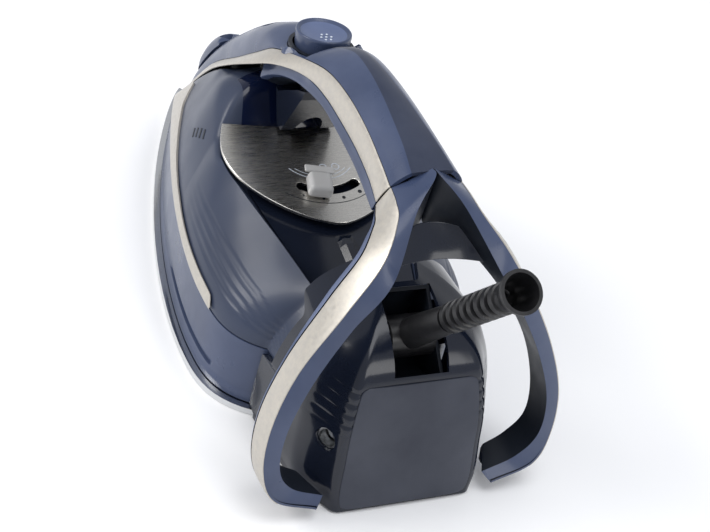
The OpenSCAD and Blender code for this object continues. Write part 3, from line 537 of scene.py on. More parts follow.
def outward(o):
    """Turns every face of a closed mesh outward."""
    bm = bmesh.new()
    bm.from_mesh(o.data)
    bmesh.ops.recalc_face_normals(bm, faces=bm.faces)
    bm.to_mesh(o.data)
    bm.free()
    return o


def prism(name, outline, z0, z1):
    """Closed solid between two copies of an outline."""
    n = len(outline)
    verts = [(x, y, z0) for x, y in outline] + [(x, y, z1) for x, y in outline]
    faces = [tuple(range(n))[::-1], tuple(range(n, 2 * n))]
    faces += [(i, (i + 1) % n, n + (i + 1) % n, n + i) for i in range(n)]
    return outward(make_object(name, verts, faces))


def drill(radius, reach, seg, matrix):
    """Round cutter, centred on its place."""
    return moved(lathe("drill", [(0, -reach), (radius, -reach), (radius, reach), (0, reach)], seg), matrix)


def around(radius, degrees):
    """Point at an angle on a circle round the selector's pivot."""
    return radius * math.cos(math.radians(degrees)), radius * math.sin(math.radians(degrees))


def thick_line(name, points, width, height, normal):
    """Thin raised line laid along points; normal gives the way it stands."""
    rows = []
    n = len(points)
    for i, p in enumerate(points):
        p = Vector(p)
        run = (Vector(points[min(i + 1, n - 1)]) - Vector(points[max(i - 1, 0)])).normalized()
        up = Vector(normal(p)).normalized()
        side = run.cross(up).normalized() * width / 2
        lift = up * height
        rows.append([tuple(q) for q in (p - side, p - side + lift, p + side + lift, p + side)])
    verts = [q for r in rows for q in r]
    faces = []
    for i in range(n - 1):
        for j in range(4):
            k = (j + 1) % 4
            faces.append((4 * i + j, 4 * i + k, 4 * i + 4 + k, 4 * i + 4 + j))
    faces += [(3, 2, 1, 0), (4 * n - 4, 4 * n - 3, 4 * n - 2, 4 * n - 1)]
    return outward(make_object(name, verts, faces))


# ---------------------------------------------------------------- what a user may change
class IronSizes(bpy.types.PropertyGroup):
    wall: bpy.props.FloatProperty(
        name="Wall", description="Wall of the plastic shells", default=0.002, unit="LENGTH")
    band_swell: bpy.props.FloatProperty(
        name="Band swell", description="How far the bright bands swell outward",
        default=0.0005, unit="LENGTH")
    rib_depth: bpy.props.FloatProperty(
        name="Rib depth", description="Depth of the flank's sweeping grooves", default=0.0005, unit="LENGTH")


def colour_prop(name, description, value):
    return bpy.props.FloatVectorProperty(
        name=name, description=description, default=value, size=3, min=0, max=1, subtype="COLOR")


class IronColours(bpy.types.PropertyGroup):
    tank: colour_prop("Tank", "Tinted tank", (0.032, 0.043, 0.078))
    shell: colour_prop("Shell", "Hood, skirt and handle sides", (0.036, 0.053, 0.110))
    top: colour_prop("Handle top", "Grip along the top of the handle", (0.006, 0.014, 0.042))
    band: colour_prop("Bands", "Bright bands", (0.50, 0.475, 0.435))
    plate: colour_prop("Plate", "Control plate", (0.66, 0.64, 0.60))
    dark: colour_prop("Dark parts", "Glossy rear and inner parts", (0.007, 0.010, 0.020))
    panel: colour_prop("Rear panel", "Satin panel on the heel", (0.026, 0.031, 0.048))
    knob: colour_prop("Knob", "Selector knob", (0.50, 0.50, 0.50))
    sleeve: colour_prop("Sleeve", "Cord sleeve", (0.006, 0.006, 0.007))


FINISH = {}


def make_finishes(c):
    """All finishes, once, by what they are."""
    FINISH.update(
        tank=tinted_tank("tinted tank", tuple(c.tank)),
        shell=plastic("blue shell", tuple(c.shell), 0.3, 0.35),
        # painted light: the blue shell brightened, a lit copy of the same plastic for the button top and the
        # legs' front strip
        shell_light=plastic("painted light blue shell", tuple(min(1, v * 1.7 + 0.02) for v in c.shell), 0.34, 0.2),
        top=plastic("navy grip", tuple(c.top), 0.42, 0.1, grain=0.12, sheen=0.15),
        band=satin_metal("satin band", tuple(c.band), 0.36, 0.55),
        plate=brushed("brushed plate", tuple(c.plate), 0.26),
        dark=plastic("dark gloss", tuple(c.dark), 0.16, 0.5, grain=0.02, dust=0.0),
        inner=plastic("dark satin", (0.010, 0.013, 0.020), 0.38, 0.0, dust=0.0),
        panel=plastic("satin panel", tuple(c.panel), 0.42, 0.0, grain=0.14),
        knob=plastic("white gloss", tuple(c.knob), 0.22, 0.5, grain=0.02, dust=0.0, depth=0.03),
        sleeve=rubber("sleeve rubber", tuple(c.sleeve)),
        gasket=rubber("gasket rubber", (0.25, 0.06, 0.03)),
        steel=brushed("plain steel", (0.56, 0.57, 0.58), 0.3),
        sole=brushed("polished sole", (0.72, 0.73, 0.74), 0.14),
        cast=satin_metal("cast metal", (0.52, 0.53, 0.54), 0.55, 0.9, grain=0.3),
        # painted shade: near-black blue gloss laid on the tank wall behind the control plate, where that wall
        # is in shade
        deep=plastic("painted shade blue gloss", (0.004, 0.008, 0.030), 0.12, 0.6, grain=0.01, dust=0.0),
        brass=satin_metal("brass", (0.66, 0.47, 0.2), 0.3, 1.0),
        heater=satin_metal("oxidised tube", (0.24, 0.21, 0.19), 0.5, 0.9),
        ceramic=plastic("ceramic", (0.74, 0.7, 0.6), 0.5, 0.0, depth=0.06),
        mark=plastic("print", (0.02, 0.025, 0.035), 0.5, 0.0, dust=0.0),
        pale_mark=plastic("pale print", (0.55, 0.6, 0.68), 0.45, 0.0, depth=0.04),
    )


def paint(node, finish):
    """A better finish for a CAD node that stays."""
    o = NODES[node]
    o.data.materials.clear()
    o.data.materials.append(FINISH[finish])


class Piece(bpy.types.Operator):
    """Shared by all pieces"""

    bl_options = {"REGISTER", "UNDO"}

    def execute(self, context):
        self.build(context.scene.iron_sizes)
        return {"FINISHED"}


class IRON_OT_finishes(bpy.types.Operator):
    """Makes the finishes and paints the nodes that keep their shape"""

    bl_idname = "iron.finishes"
    bl_label = "Finishes"

    def execute(self, context):
        make_finishes(context.scene.iron_colours)
        for node, finish in {
            "soleplate": "sole", "heating_casting": "cast", "heating_element": "heater",
            "chamber_gasket": "gasket", "chamber_cover": "steel", "cover_screws": "steel",
            "thermostat": "ceramic", "thermal_fuse": "ceramic", "waist_ring": "inner",
            "tank_floor": "inner", "dosing_valve": "brass", "filler_neck": "inner",
            "spray_nozzle": "brass", "door_pin": "steel", "button_spring": "steel",
            "pump_piston": "knob", "pump_cylinder": "inner", "selector_arm": "inner",
            "selector_shaft": "brass", "front_pillar": "dark", "heel_base": "inner",
            "boot_pocket": "inner", "heel_screws": "steel", "terminal_block": "ceramic",
            "cord_clamp": "inner", "cord_boot": "sleeve", "rear_deck": "dark",
            "button_collar": "inner",
        }.items():
            paint(node, finish)
        return {"FINISHED"}


class IRON_OT_stage(bpy.types.Operator):
    """Sets the floor, the soft lights and the camera"""

    bl_idname = "iron.stage"
    bl_label = "Stage"

    def execute(self, context):
        scene = context.scene
        corners = [(-FLOOR, -FLOOR, 0), (FLOOR, -FLOOR, 0), (FLOOR, FLOOR, 0), (-FLOOR, FLOOR, 0)]
        floor = make_object("floor", corners, [(0, 1, 2, 3)])
        floor.location.z = -0.0002
        n = Nodes("pale floor")
        tone = n.mix(n.noise(3, 3, 0.5), (0.95, 0.955, 0.965), (0.97, 0.97, 0.975))
        n.link(tone, n.shader.inputs["Base Color"])
        n.link(n.spread(n.noise(40, 3, 0.5), 0.3, 0.7, 0.6, 0.75), n.shader.inputs["Roughness"])
        floor.data.materials.append(n.m)

        world = bpy.data.worlds.new("soft room")
        world.use_nodes = True
        world.node_tree.nodes["Background"].inputs["Color"].default_value = (0.93, 0.95, 1.0, 1)
        world.node_tree.nodes["Background"].inputs["Strength"].default_value = 0.6
        scene.world = world

        for name, at, size, power, tint in (
            ("key", (0.35, 1.3, 1.0), 0.7, 15, (1.0, 0.985, 0.96)),
            ("over", (-0.35, -0.2, 1.6), 1.0, 10, (0.97, 0.98, 1.0)),
            ("back", (-1.5, -0.5, 0.8), 0.7, 5, (1.0, 0.99, 0.97)),
        ):
            light = bpy.data.lights.new(name, "AREA")
            light.size = size
            light.energy = power
            light.color = tint
            o = bpy.data.objects.new(name, light)
            o.location = at
            o.rotation_euler = (Vector((-0.03, 0, 0.06)) - Vector(at)).to_track_quat("-Z", "Y").to_euler()
            context.collection.objects.link(o)

        camera = bpy.data.cameras.new("camera")
        camera.sensor_width = 36
        camera.lens = 88.94
        camera.clip_start = 0.01
        o = bpy.data.objects.new("camera", camera)
        right = Vector((-0.37537, -0.90184, 0.21398))
        up = Vector((0.63446, -0.08171, 0.76862))
        back = Vector((-0.67569, 0.42428, 0.60285))
        m = Matrix((right, up, back)).transposed().to_4x4()
        m.translation = (-0.6017, 0.3202, 0.5140)
        o.matrix_world = m
        context.collection.objects.link(o)
        scene.camera = o
        scene.view_settings.view_transform = "Standard"
        return {"FINISHED"}


# ---------------------------------------------------------------- handle
def handle_section(x):
    """Half section of the handle's cover from the band up to the middle of its top."""
    o, r = on_line(BAND_TOP, x), on_line(RIDGE, x)
    h = r[1] - o[1]
    side = smooth_run([(o[0], o[1]), (lerp(o[0], r[0], 0.22), o[1] + 0.34 * h),
                       (lerp(o[0], r[0], 0.52), o[1] + 0.66 * h), (lerp(o[0], r[0], 0.82), r[1] - 0.1 * h),
                       (r[0], r[1])], 3)
    top = smooth_run([(r[0], r[1]), (r[0] * 0.5, r[1] + 0.5), (0, r[1] + 0.6)], 2)
    return side + top[1:]


def hood_section(x, n=12):
    o, c = on_line(BAND_TOP, x), on_line(CREST, x)[0]
    out = []
    for i in range(n + 1):
        a = math.radians(90 * i / n)
        out.append((o[0] * max(0, math.cos(a)) ** 0.75, o[1] + (c - o[1]) * math.sin(a) ** 0.95))
    return out


def hood_z(x, y):
    """Height of the hood's skin."""
    o, c = on_line(BAND_TOP, x), on_line(CREST, x)[0]
    share = clamp(abs(y) / o[0]) ** (1 / 0.75)
    return o[1] + (c - o[1]) * math.sin(math.acos(share)) ** 0.95


def trimmed(section, gap):
    a, b = Vector(section[0]), Vector(section[1])
    return [tuple(a + (b - a).normalized() * gap)] + section[1:]


def both_sides(section):
    return section + [(-y, z) for y, z in section[-2::-1]]


def above(z):
    return lambda c: (c.x, 0, z)


class IRON_OT_handle(Piece):
    """Builds the handle's cover with its navy grip, and the liner under it"""

    bl_idname = "iron.handle"
    bl_label = "Handle"

    def build(self, sizes):
        rows = [[body_pt(x, y, z) for y, z in both_sides(trimmed(handle_section(x), 0.25))]
                for x in steps(-126.8, -34.0, 60)]
        m = len(rows[0])
        cover = grid("handle_cover_shell", rows, above(115), lambda i, j: 1 if 12 <= j <= m - 14 else 0)
        s = cover.modifiers.new("wall", "SOLIDIFY")
        s.thickness, s.offset = sizes.wall, -1
        ring = drill(BUTTON_HOLE, 30, 72, place(*BUTTON_AT, BUTTON_TILT))
        cover.data.materials.append(FINISH["shell"])
        cover.data.materials.append(FINISH["top"])
        cut(cover, [ring])
        finish_mesh(cover, [], "iron", ["handle_cover"], bevel=0.35, angle=45)

        rows = []
        for x in steps(-126.8, -11, 56):
            e, u = on_line(GRIP_EDGE, x), on_line(BAND_LOW, x)
            f = max(0, (x + 50) / 39)
            g = 1.5 * eased((x + 46) / 8) + 2.8 * eased((x + 26) / 12)
            low = [(e[0] * share, e[1] - drop)
                   for share, drop in ((0, 4.5), (0.34, 4.3), (0.64, 3.2), (0.86, 1.3), (1, 0))]
            low += [(lerp(e[0], u[0], 0.5) - 0.7 * g, lerp(e[1], u[1], 0.5)), (u[0] - g, u[1] - 0.25)]
            half = smooth_run(low, 3)
            full = [(-y, z) for y, z in half[::-1]] + half[1:]
            rows.append([body_pt(x + 0.55 * (z - 96) * f * f, y, z) for y, z in full])
        liner = grid("handle_liner_shell", rows, lambda c: (c.x, 0, 160),
                     lambda i, j: 1 if 9 <= j < len(rows[0]) - 10 else 0)
        finish_mesh(liner, [FINISH["shell"], FINISH["inner"]], "iron", ["handle_liner"],
                    bevel=0.3, thick=1.8)


def crown(k):
    """Swell of a band across its nine points."""
    return math.sin(math.pi * k / 8) ** 0.6


class IRON_OT_bands(Piece):
    """Builds the bright bands along the handle, the hood and the foot of the flanks"""

    bl_idname = "iron.bands"
    bl_label = "Bright bands"

    def build(self, sizes):
        swell = sizes.band_swell / MM
        for side, name in ((1, "left"), (-1, "right")):
            rows = []
            for x in steps(-126.8, 100, 130):
                o, u = Vector(on_line(BAND_TOP, x)), Vector(on_line(BAND_LOW, x))
                out = Vector((0.8 if x < -45 else 0.6, 0.5)).normalized()
                row = [o.lerp(u, k / 8) + out * (0.35 + swell) * crown(k) for k in range(9)]
                rows.append([body_pt(x, *q) for q in row])
            band = grid("side_band_" + name + "_shell", mirrored(rows, side), above(90))
            finish_mesh(band, [FINISH["band"]], "iron", ["side_band_" + name],
                        bevel=0.3, thick=0.8, segments=3)

            rows = []
            for x in steps(-84, 85, 90):
                top = on_line(TRIM_TOP, max(x, -84))[0] * eased((x + 86.5) / 6)
                row = []
                for k in range(9):
                    s = 0.01 + (top - 0.01) * k / 8
                    y, z = flank(x, s)
                    row.append((x, y + 1.2 + 0.25 * math.sin(math.pi * k / 8), z))
                rows.append(row)
            trim = grid("lower_trim_" + name + "_shell", mirrored(rows, side), above(45))
            finish_mesh(trim, [FINISH["band"]], "iron", ["lower_trim_" + name],
                        bevel=0.4, thick=1.1, segments=3)


class IRON_OT_hood(Piece):
    """Builds the hood, the filler door and the nose cap"""

    bl_idname = "iron.hood"
    bl_label = "Hood, door and nose"

    def build(self, sizes):
        rows = []
        for x in steps(-33.6, 100, 90):
            gap = 0.25 + 1.7 * (1 - eased((x + 30) / 16))
            rows.append([body_pt(x, y, z) for y, z in both_sides(trimmed(hood_section(x), gap))])
        hood = grid("hood_shell", rows, above(20))
        s = hood.modifiers.new("wall", "SOLIDIFY")
        s.thickness, s.offset = sizes.wall, -1
        ring = drill(BUTTON_HOLE, 30, 72, place(*BUTTON_AT, BUTTON_TILT))
        hinge_z = on_line(CREST, DOOR_REAR)[0]
        run, drop = DOOR_FRONT - DOOR_REAR, on_line(CREST, DOOR_FRONT)[0] - hinge_z
        length = math.hypot(run, drop)
        doorway = block("doorway", (length + 4.5, 18.6, 40), (length / 2 - 1.95, 0, 6), 1.2, 3)
        moved(doorway, place(DOOR_REAR, 0, hinge_z, -math.atan2(drop, run)))
        hood.data.materials.append(FINISH["shell"])
        cut(hood, [ring, doorway])
        finish_mesh(hood, [], "iron", ["hood_cover"], bevel=0.4, angle=45)

        rows = []
        for x in steps(DOOR_REAR - 1.5, DOOR_FRONT, 40):
            ys = [DOOR_HALF * k / 12 for k in range(-12, 13)]
            rows.append([(x, y, hood_z(x, y) + 0.1) for y in ys])
        door = grid("filler_door_shell", rows, above(20))
        s = door.modifiers.new("wall", "SOLIDIFY")
        s.thickness, s.offset = 0.0018, -1
        notch = moved(block("notch", (5, 6, 5), (0, 0, 0), 0.8, 2), place(23.5, 9.2, 107.2, 0, 0.5))
        door.data.materials.append(FINISH["shell"])
        cut(door, [notch])
        hub = lathe("door_hub", [(1.3, -5), (2.6, -5), (2.6, 5), (1.3, 5), (1.3, -5)], 40)
        moved(hub, place(DOOR_REAR, 0, hinge_z - 5) @ Matrix.Rotation(math.pi / 2, 4, "X"))
        hub.data.materials.append(FINISH["shell"])
        crease = [(30 + 0.35 * k, -6 + k, 0) for k in range(13)]
        grip = thick_line("door_line", crease, 0.5, 0.2, lambda p: (0, 0, 1))
        for v in grip.data.vertices:
            v.co.z += (hood_z(v.co.x / MM, v.co.y / MM) - 0.05) * MM
        grip.data.materials.append(FINISH["inner"])
        whole = joined("filler_door_piece", [door, hub, grip])
        finish_mesh(whole, [], "door", ["filler_door"], bevel=0.3, angle=45)

        rows = []
        for x in steps(69.5, 92.5, 30):
            t = (x - 71) / 21.5
            c = on_line(CREST, x)[0]
            top = 71 - 4 * t - 18.5 * t * t
            top = lerp(c + 0.8, top, eased((x - 68.8) / 3.4))
            w = 8.4 - 1.4 * t * t
            low = c - 1.5
            end = eased((93.2 - x) / 2.5)
            width = w * (0.85 + 0.15 * end)
            rise = max(top, c + 0.8) * end + (c + 0.5) * (1 - end) - low
            turns = [math.pi * k / 24 for k in range(25)]
            rows.append([(x, width * math.cos(a), low + rise * math.sin(a) ** 0.55) for a in turns])
        nose = grid("nose_cap_shell", rows, above(20), caps=True, wrap=True)
        dish = lathe("dish", [(0, -6), (2.6, -6), (4.4, 0.6), (4.6, 6), (0, 6)], 40)
        dish.data.transform(Matrix.Diagonal((1.0, 0.75, 1.0, 1.0)))
        moved(dish, place(74.5, 3.2, 69.4, math.radians(28)) @ Matrix.Rotation(math.radians(-22), 4, "X"))
        spray = drill(3.3, 16, 32, place(*SPRAY_AT, SPRAY_TILT))
        nose.data.materials.append(FINISH["shell"])
        cut(nose, [dish, spray])
        finish_mesh(nose, [], "iron", ["nose_cap"], bevel=0.35, angle=40)


class IRON_OT_button(Piece):
    """Builds the dished steam button with its dots"""

    bl_idname = "iron.button"
    bl_label = "Steam button"

    def build(self, sizes):
        outer = [(0, -4), (3, -4), (3, 9.6), (9.6, 9.6), (10.4, 9.0), (10.6, 0.6), (11.2, 0.5), (11.5, 0.8),
                 (12.1, 6), (12.5, 10.6), (12.4, 11.5), (12.1, 11.9), (11.7, 11.95), (11.3, 11.7),
                 (10.4, 10.9), (8.5, 10.35), (5, 10.1), (0, 10.0)]
        cap = lathe("cap", outer, 96)
        cap.data.materials.append(FINISH["shell"])
        cap.data.materials.append(FINISH["shell_light"])
        # the top disc takes the brightened shell: painted light on the lit dish
        for p in cap.data.polygons:
            if p.center.z > 10.0 * MM and p.center.to_2d().length < 10.4 * MM:
                p.material_index = 1
        parts = [cap]
        for v in cap.data.vertices:
            r = v.co.to_2d().length / MM
            if v.co.z > 9.5 * MM and r < 10.5:
                v.co.z -= 0.25 * MM * (1 - (r / 10.5) ** 2)
        spots = [(-3.2, 2.4 * k) for k in (-1, 0, 1)]
        spots += [(x, 1.2 * k) for x in (-0.8, -5.6) for k in (-1, 1)]
        for x, y in spots:
            dot = lathe("dot", [(0, 9.9), (0.55, 9.9), (0.55, 10.3), (0.35, 10.4), (0, 10.42)], 16)
            moved(dot, place(x, y, 0))
            dot.data.materials.append(FINISH["pale_mark"])
            parts.append(dot)
        o = joined("steam_button_cap", parts)
        moved(o, place(*BUTTON_AT, BUTTON_TILT))
        finish_mesh(o, [], "button", ["steam_button"], bevel=0.15, angle=50)


# ---------------------------------------------------------------- lower body
class IRON_OT_tank(Piece):
    """Builds the tinted tank with its sweeping grooves and level mark"""

    bl_idname = "iron.tank"
    bl_label = "Water tank"

    def build(self, sizes):
        rows, stations = [], []
        for x in steps(-120, -17.5, 70) + steps(-12.5, 86, 70):
            row = [flank(x, s) for s in steps(0, 1, 40)]
            if x > -15:
                u = on_line(BAND_LOW, max(x, -3))
                uz, w = u[1] - 1.6, eased((x + 13) / 33)
                f = flank(x, 1.095)
                knee = (lerp(33.5, f[0], w), lerp(92, f[1], w))
                a = row[-1]
                extra = [(lerp(a[0], knee[0], 0.5), lerp(a[1], knee[1], 0.5)), knee,
                         (lerp(knee[0], u[0], 0.5), lerp(knee[1], uz, 0.5)), (u[0], uz),
                         (u[0] * 0.75, uz), (u[0] * 0.5, uz), (u[0] * 0.25, uz), (0, uz)]
            else:
                f, r = on_line(FLANK_TOP, x), plate_z(x) - 6.8
                extra = [(f[0] - 1.5, lerp(f[1], r, 0.2)), (f[0] - 3.2, lerp(f[1], r, 0.7)), (f[0] - 4.2, r),
                         (f[0] * 0.8, r), (f[0] * 0.6, r), (f[0] * 0.4, r), (f[0] * 0.2, r), (0, r)]
            lean = 0.55 * max(0, 1 - (x + 13) / 45) if x > -15 else 0
            row = [Vector((x + lean * max(0, z - 80), y, z)) for y, z in row + extra]
            for p in row:
                if p.x > -3:
                    p.z = min(p.z, on_line(BAND_LOW, p.x)[1] - 2)
            rows.append(row)
            stations.append(x)
        low, high = rows[70], rows[71]
        between_rows = [[a.lerp(b, k / 14) for a, b in zip(low, high)] for k in range(1, 14)]
        rows[71:71] = between_rows
        stations[71:71] = [lerp(stations[70], stations[71], k / 14) for k in range(1, 14)]
        # soften the turn from the flank into the wall under the handle
        for _ in range(26):
            fresh = [[p.copy() for p in r] for r in rows]
            for i in range(1, len(rows) - 1):
                k = eased((stations[i] + 34) / 14) * (1 - eased((stations[i] - 14) / 16))
                if k <= 0:
                    continue
                for j in range(26, len(rows[0]) - 1):
                    mean = (rows[i - 1][j] + rows[i + 1][j] + rows[i][j - 1] + rows[i][j + 1]) / 4
                    fresh[i][j] = rows[i][j].lerp(mean, 0.6 * k * clamp((j - 26) / 8))
            rows = fresh
        depth = sizes.rib_depth / MM
        for i, x in enumerate(stations):
            fade = 1 - eased((x + 62) / 44)
            dip = 0.17 * max(0, (-94 - x) / 20) ** 1.4
            for j in range(1, 40):
                s = j / 40
                d = depth * fade * sum(math.exp(-(((s - k + dip) / 0.017) ** 2)) for k in GROOVES)
                rows[i][j] = rows[i][j] - Vector((0, 0.85, 0.5)) * d
        full = [[tuple(p) for p in r] + [(p.x, -p.y, p.z) for p in r[-2::-1]] for r in rows]
        first = [(-120.6, p[1] * 0.08, 34.4 + (p[2] - 34.4) * 0.9) for p in full[0]]
        n = len(rows[0])

        def painted_shade_at(i, j):
            """The wall behind the control plate takes the near-black gloss: painted shade where the wall
            turns away from the light.
            """
            return 1 if 71 <= i <= 92 and min(j, 2 * n - 2 - j) >= 43 else 0

        # the tank's second finish is painted shade on the wall behind the plate
        tank = grid("water_tank_shell", [first] + full, above(30), painted_shade_at)
        finish_mesh(tank, [FINISH["tank"], FINISH["deep"]], "iron", ["water_tank"],
                    bevel=0.5, thick=sizes.wall / MM, angle=50)

        marks = []
        for side in (1, -1):
            for k in range(4):
                x0, s0 = -6.5 + 3.4 * k, 0.775 - 0.062 * k
                pts = []
                for t in steps(-0.5, 0.5, 4):
                    y, z = flank(x0 + 2.6 * t, s0 + 0.055 * t)
                    pts.append((x0 + 2.6 * t, side * (y + 0.02), z))
                marks.append(thick_line("bar", pts, 1.1, 0.18, lambda p, s=side: (0.1, s * 0.82, 0.55)))
        o = joined("level_mark", marks)
        finish_mesh(o, [FINISH["mark"]], "iron")


class IRON_OT_nose_panel(Piece):
    """Closes the tip between the hood, the bands and the skirt"""

    bl_idname = "iron.nose_panel"
    bl_label = "Nose panel"

    def build(self, sizes):
        rows = []
        for x in steps(86.5, 117, 34):
            xs, k = min(x, 100), clamp((117 - x) / 17)
            w, low = half_w(x, 4.6), lerp(24.5, 4.6, clamp((x - 87) / 32))
            u, o = on_line(BAND_LOW, xs), on_line(BAND_TOP, xs)
            key = [(w, low), (min(w * 0.9, u[0] - 0.4), max(low + 0.5, lerp(5.8, u[1] - 1.3, k))),
                   (min(w * 0.7, o[0] - 1.2), max(low + 0.8, lerp(6.2, o[1] - 1.8, k))),
                   (0, max(low + 1, lerp(6.4, o[1] - 1.2, k)))]
            half = smooth_run(key, 5)
            rows.append([(x, y, z) for y, z in half] + [(x, -y, z) for y, z in half[-2::-1]])
        panel = grid("nose_panel", rows, above(5), wrap=True, caps=True)
        finish_mesh(panel, [FINISH["shell"]], "iron")


class IRON_OT_skirt(Piece):
    """Builds the skirt round the sole with its lip and side groove"""

    bl_idname = "iron.skirt"
    bl_label = "Skirt"

    def build(self, sizes):
        edge = [(-140, 33.8), (40, 33.8), (70, 30.6), (90, 23.6), (104, 13), (120, 6)]

        def top_at(x):
            for (xa, za), (xb, zb) in zip(edge, edge[1:]):
                if x <= xb:
                    return lerp(za, zb, (x - xa) / (xb - xa))
            return 6

        def ring_point(t, d):
            """t from 0 at the nose to 1 at the middle of the rear."""
            xf, xr = 126 - 1.7 * d, -126 + d
            if t < 0.5:
                x = -70 + (xf + 70) * math.cos(math.pi * t)
            else:
                x = -70 - (-70 - xr) * math.sin(math.pi * (t - 0.5))
            return x, half_w(x, d)

        zs = [3.6, 4.6, 6.0, 7.0, 7.8, 8.8, 9.6, 9.9, 11.2, 12.6, 12.9, 14, 18, 23, 28, 32]
        rows = []
        for t in steps(0.002, 0.998, 170):
            x0, _ = ring_point(t, 4)
            top = top_at(x0)
            col = []
            for z in zs + [99]:
                zz = min(z, top)
                d = 3.3 if z < 6.5 else lerp(3.3, 4.0, clamp((z - 6.5) / 1.6))
                d += 0.3 * clamp((z - 18) / 14)
                if 9.8 < z < 12.7:
                    d += 1.3 * eased((x0 + 93) / 2.5) * (1 - eased((x0 + 27) / 2.5))
                x, y = ring_point(t, d)
                col.append((x, y, zz if z < 90 else top))
            rows.append(col)
        full = rows + [[(x, -y, z) for x, y, z in r] for r in rows[::-1]]
        # the rows above the skirt's top edge fall together and are merged
        o = grid("skirt_shell", full, lambda c: (c.x * 0.6 - 20, 0, c.z))
        bm = bmesh.new()
        bm.from_mesh(o.data)
        bmesh.ops.remove_doubles(bm, verts=bm.verts, dist=0.00002)
        bmesh.ops.dissolve_degenerate(bm, dist=0.00001, edges=bm.edges)
        bm.to_mesh(o.data)
        bm.free()
        finish_mesh(o, [FINISH["shell"]], "iron", ["skirt"],
                    bevel=0.3, thick=1.8, angle=50)


# ---------------------------------------------------------------- controls
class IRON_OT_plate(Piece):
    """Builds the control plate with its slot, arcs and marks"""

    bl_idname = "iron.plate"
    bl_label = "Control plate"

    def build(self, sizes):
        c = math.cos(PLATE_TILT)

        def half(s):
            out = 43 * math.sin(math.radians(90 * min(1, s / 0.75))) ** 0.62
            return out - (5 * ((s - 0.75) / 0.25) ** 2 if s > 0.75 else 0)

        side = [((-44 + 56 * s + 4.5 * s**8) / c, half(s)) for s in [(i / 48) ** 1.6 for i in range(1, 49)]]
        front = [((11.1 + 0.142 * abs(y)) / c, y) for y in (30, 20, 10, 0, -10, -20, -30)]
        ring = side + front + [(x, -y) for x, y in side[::-1]]
        plate = prism("plate", ring, 0, -1.6)
        turns = steps(-SLOT_ANGLE, SLOT_ANGLE, 32)
        outer = [around(SLOT_RADIUS + SLOT_HALF, 180 + a) for a in turns]
        inner = [around(SLOT_RADIUS - SLOT_HALF, 180 + a) for a in turns]
        ends = []
        for at, start in ((turns[-1], SLOT_ANGLE + 180), (turns[0], -SLOT_ANGLE)):
            x, y = around(SLOT_RADIUS, 180 + at)
            bows = [around(SLOT_HALF, start + 180 * k / 10) for k in range(1, 10)]
            ends.append([(x + dx, y + dy) for dx, dy in bows])
        tool = prism("slot_tool", outer + ends[0] + inner[::-1] + ends[1], -4, 4)
        plate.data.materials.append(FINISH["plate"])
        cut(plate, [tool])
        b = plate.modifiers.new("edge", "BEVEL")
        b.width, b.segments, b.limit_method, b.angle_limit = 0.0003, 3, "ANGLE", math.radians(50)
        use_modifiers(plate)
        parts = [plate]
        for radius, a0, a1, w in ((19.5, -52, 46, 0.35), (33.5, -40, 40, 0.35), (17.6, -46, 40, 0.25)):
            arc = [(*around(radius, 180 + a), 0) for a in steps(a0, a1, 40)]
            line = thick_line("arc", arc, w, 0.06, lambda p: (0, 0, 1))
            line.data.materials.append(FINISH["pale_mark" if radius < 30 else "inner"])
            parts.append(line)
        for k, a in enumerate((-26, -9, 9, 26)):
            size = 0.5 + 0.16 * k
            dot = lathe("drop", [(0, 0), (size, 0), (size, 0.08), (0, 0.1)], 20)
            moved(dot, place(*around(31, 180 + a), 0))
            dot.data.materials.append(FINISH["inner"])
            parts.append(dot)
        for k in range(3):
            ringlet = lathe("mark", [(1.5, 0), (1.9, 0), (1.9, 0.07), (1.5, 0.07), (1.5, 0)], 28)
            moved(ringlet, place(-12.5, -7 + 6 * k, 0))
            ringlet.data.materials.append(FINISH["pale_mark"])
            parts.append(ringlet)
        o = joined("control_plate_piece", parts)
        moved(o, place(*PLATE_AT, -PLATE_TILT))
        for p in o.data.polygons:
            p.use_smooth = False
        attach(o, "iron")
        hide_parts("control_plate")


class IRON_OT_selector(Piece):
    """Builds the selector knob with its pointer"""

    bl_idname = "iron.selector"
    bl_label = "Selector knob"

    def build(self, sizes):
        knob = block("knob", (12, 11.6, 6.6), (SLOT_RADIUS, 0, 3.7), 2.2, 6)
        for v in knob.data.vertices:
            z = v.co.z / MM
            taper = 1 - 0.1 * clamp((z - 0.4) / 6.6)
            dx, dy = (v.co.x / MM - SLOT_RADIUS) * taper, v.co.y / MM * taper
            v.co.x, v.co.y = (SLOT_RADIUS + dx) * MM, dy * MM
            v.co.z -= 0.5 * MM * math.exp(-(dx * dx + dy * dy) / 14) * clamp((z - 5) / 2)
        tab = block("tab", (3.8, 13.4, 1.5), (18.5, 0, 5.1), 0.6, 3)
        stem = moved(lathe("stem", [(0, -2.4), (1.9, -2.4), (1.9, 1), (0, 1)], 32), place(SLOT_RADIUS, 0, 0))
        o = joined("selector_knob_piece", [knob, tab, stem])
        moved(o, place(*PLATE_AT, -PLATE_TILT, math.radians(180 - SELECTOR_REST)))
        finish_mesh(o, [FINISH["knob"]], "selector", ["selector_knob"])


